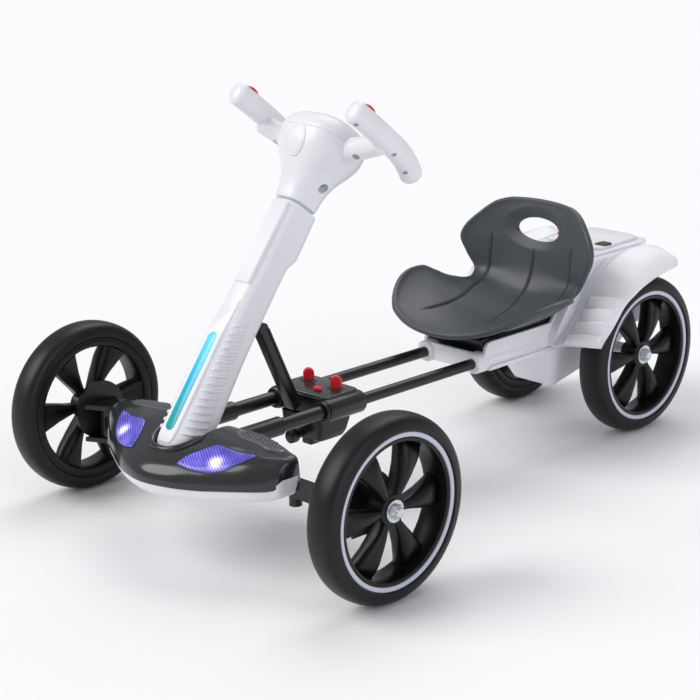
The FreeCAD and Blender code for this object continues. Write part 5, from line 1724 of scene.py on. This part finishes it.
# %% Seat tray
TRAY_OUTLINE = [(426, 152, 3), (420, 176, 6), (440, 186, 6), (520, 186, 8), (560, 214, 10), (585, 262, 8),
                (594, 262, 3), (594, 216, 8), (560, 156, 8)]
tray = block(rounded_outline(TRAY_OUTLINE, 6), -48.5, 48.5, "x", 3.0)
seat_tree = BVHTree.FromPolygons([kart(*p) for p in bottom.reshape(-1, 3)],
                                 sheet_faces(rows, columns, 0, False))
TRAY_GAP = 0.4
tray_points = []
for point in tray[0]:
    hits = [seat_tree.ray_cast(Vector((x * MM, point.y, 50 * MM)), -DOWN)[0] for x in (-46, -23, 0, 23, 46)]
    top_z = min([hit.z - TRAY_GAP * MM for hit in hits if hit] + [point.z])
    tray_points.append(Vector((point.x, point.y, top_z)))
piece("seat_tray", tray_points, tray[1], black_abs, "rear_frame", ["seat_bracket"], "seat_grey", sharp=35)
print("tray points", len(tray_points))

# %% [markdown]
# Each mudguard is one sheet between two edges: an inner crest that meets the body and an outer
# rim over the tyre. Its lower front carries four shallow steps, which stiffen the plastic. Loose
# blocks laid on it would show their ends, so the steps are a saw-tooth added along the surface's
# normal and faded out at both edges. A flat wall closes the gap between guard and body.

# %% Mudguard surface
# Stations from the low front to the rear tip: inner crest (x, y, z), then outer rim (x, y, z).
GUARD_STATIONS = [((78, 545.5, 146.5), (133, 573, 147.5)), ((79.5, 551, 152.5), (135, 577.5, 157.5)),
                  ((81, 567.5, 164), (138, 585.5, 171)), ((82, 581.5, 178), (140, 596.5, 186)),
                  ((82, 593, 191.5), (141, 607.5, 200)), ((83, 601, 206), (142, 617.5, 209)),
                  ((85, 613.5, 223.5), (143, 633, 217)), ((88, 635, 241), (142, 655, 224.5)),
                  ((88, 667, 254.5), (138.5, 688, 230.5)), ((86, 698, 259.5), (135.5, 712, 232)),
                  ((87, 726, 260), (133, 731, 233)), ((97, 747, 255.5), (131.5, 743, 233.4)),
                  ((117, 755, 243), (130.5, 750.5, 233.6))]
STEP_COUNT = 4
STEP_START = 0.035
STEP_END = 0.42
STEP_RISE = 5.6
STEP_CREST = 0.78
GUARD_CROWN = 5.0
GUARD_WALL = 2.4


def guard_grid(side, along=20, across=60):
    """The top and the underside of a mudguard as grids."""
    edges = np.array(smooth_row([inner + outer for inner, outer in GUARD_STATIONS], along))
    share = np.linspace(0, 1, across)[None, :, None]
    inner = edges[:, None, :3]
    outer = edges[:, None, 3:]
    grid = inner + (outer - inner) * share
    crown = GUARD_CROWN * np.sin(np.pi * share[:, :, 0]) ** 0.9
    normals = grid_normals(grid)
    if normals[len(grid) // 2, across // 2, 2] < 0:
        normals = -normals
    place = np.linspace(0, 1, len(grid))[:, None]
    cycle = np.clip((place - STEP_START) / (STEP_END - STEP_START), 0, 0.9999) * STEP_COUNT
    tooth = cycle % 1.0
    ramp = np.where(tooth < STEP_CREST, tooth / STEP_CREST, (1 - tooth) / (1 - STEP_CREST))
    on = (place > STEP_START) & (place < STEP_END)
    fade = np.clip((share[:, :, 0] - 0.12) / 0.02, 0, 1) * np.clip((0.9 - share[:, :, 0]) / 0.03, 0, 1)
    lift = crown + STEP_RISE * ramp * on * fade
    top = grid + normals * lift[:, :, None]
    low = top - normals * GUARD_WALL
    low[:, -1] -= normals[:, -1] * GUARD_WALL
    top[..., 0] *= side
    low[..., 0] *= side
    return top, low


def closed_sheet(top, low):
    """Two grids and the wall round their edge, as one part."""
    rows, columns = top.shape[:2]
    points = [kart(*p) for p in top.reshape(-1, 3)] + [kart(*p) for p in low.reshape(-1, 3)]
    faces = sheet_faces(rows, columns, 0, False) + sheet_faces(rows, columns, rows * columns, True)
    rim = list(range(columns))
    rim += [i * columns + columns - 1 for i in range(1, rows)]
    rim += [(rows - 1) * columns + j for j in range(columns - 2, -1, -1)]
    rim += [i * columns for i in range(rows - 2, 0, -1)]
    below = rows * columns
    for a, b in zip(rim, rim[1:] + rim[:1]):
        faces.append((a, b, b + below, a + below))
    return points, faces


print("guard grid", guard_grid(1)[0].shape[:2], "steps", STEP_COUNT)


# %% Mudguards
def guard_wall(side):
    """The flat wall between the guard's inner crest and the body, with its foot towards the wheel."""
    inner = np.array(smooth_row([station[0] for station in GUARD_STATIONS[:12]], 10)) * (side, 1, 1)
    wall_rings = []
    for x, y, z in inner:
        out = np.array([0.0, y - WHEELBASE, z - WHEEL_RADIUS])
        out /= np.linalg.norm(out)
        corner = np.array([x, y, z]) + out * 0.4
        foot = np.array([side * 66.0, y, z]) - out * 7.0
        wall_rings.append([kart(*corner), kart(*(corner - out * 2.6)), kart(*(foot - out * 2.4)),
                           kart(*foot)])
    return skin(wall_rings)


for name, side in SIDES:
    guard = gathered(closed_sheet(*guard_grid(side)), guard_wall(side))
    piece("guard_moulding_" + name, *guard, white_abs, "rear_frame", ["mudguard_" + name], "white_plastic",
          sharp=32)
print("mudguard points", len(guard[0]))

# %% [markdown]
# What is left of the measured model is tube, beam and pin: hard shapes that are already right. They
# keep their own meshes and only get a finish, as the real ones do: moulded sleeves, powder-coated
# tubes and beams, and zinc on the bare axle and the fold's pin.

# %% Finishes of the remaining frame pieces
FINISHES = {
    black_abs: ["rail_sleeve_left", "rail_sleeve_right"],
    powder_coat: ["front_axle", "front_tube_left", "front_tube_right", "rear_tube_left", "rear_tube_right",
                  "knuckle_left", "knuckle_right", "tie_rod"],
    zinc_plate: ["rear_axle", "fold_pin"],
}
for material, labels in FINISHES.items():
    for label in labels:
        nodes[label].data.materials.clear()
        nodes[label].data.materials.append(material)
print("measured pieces with a finish", sum(len(labels) for labels in FINISHES.values()))
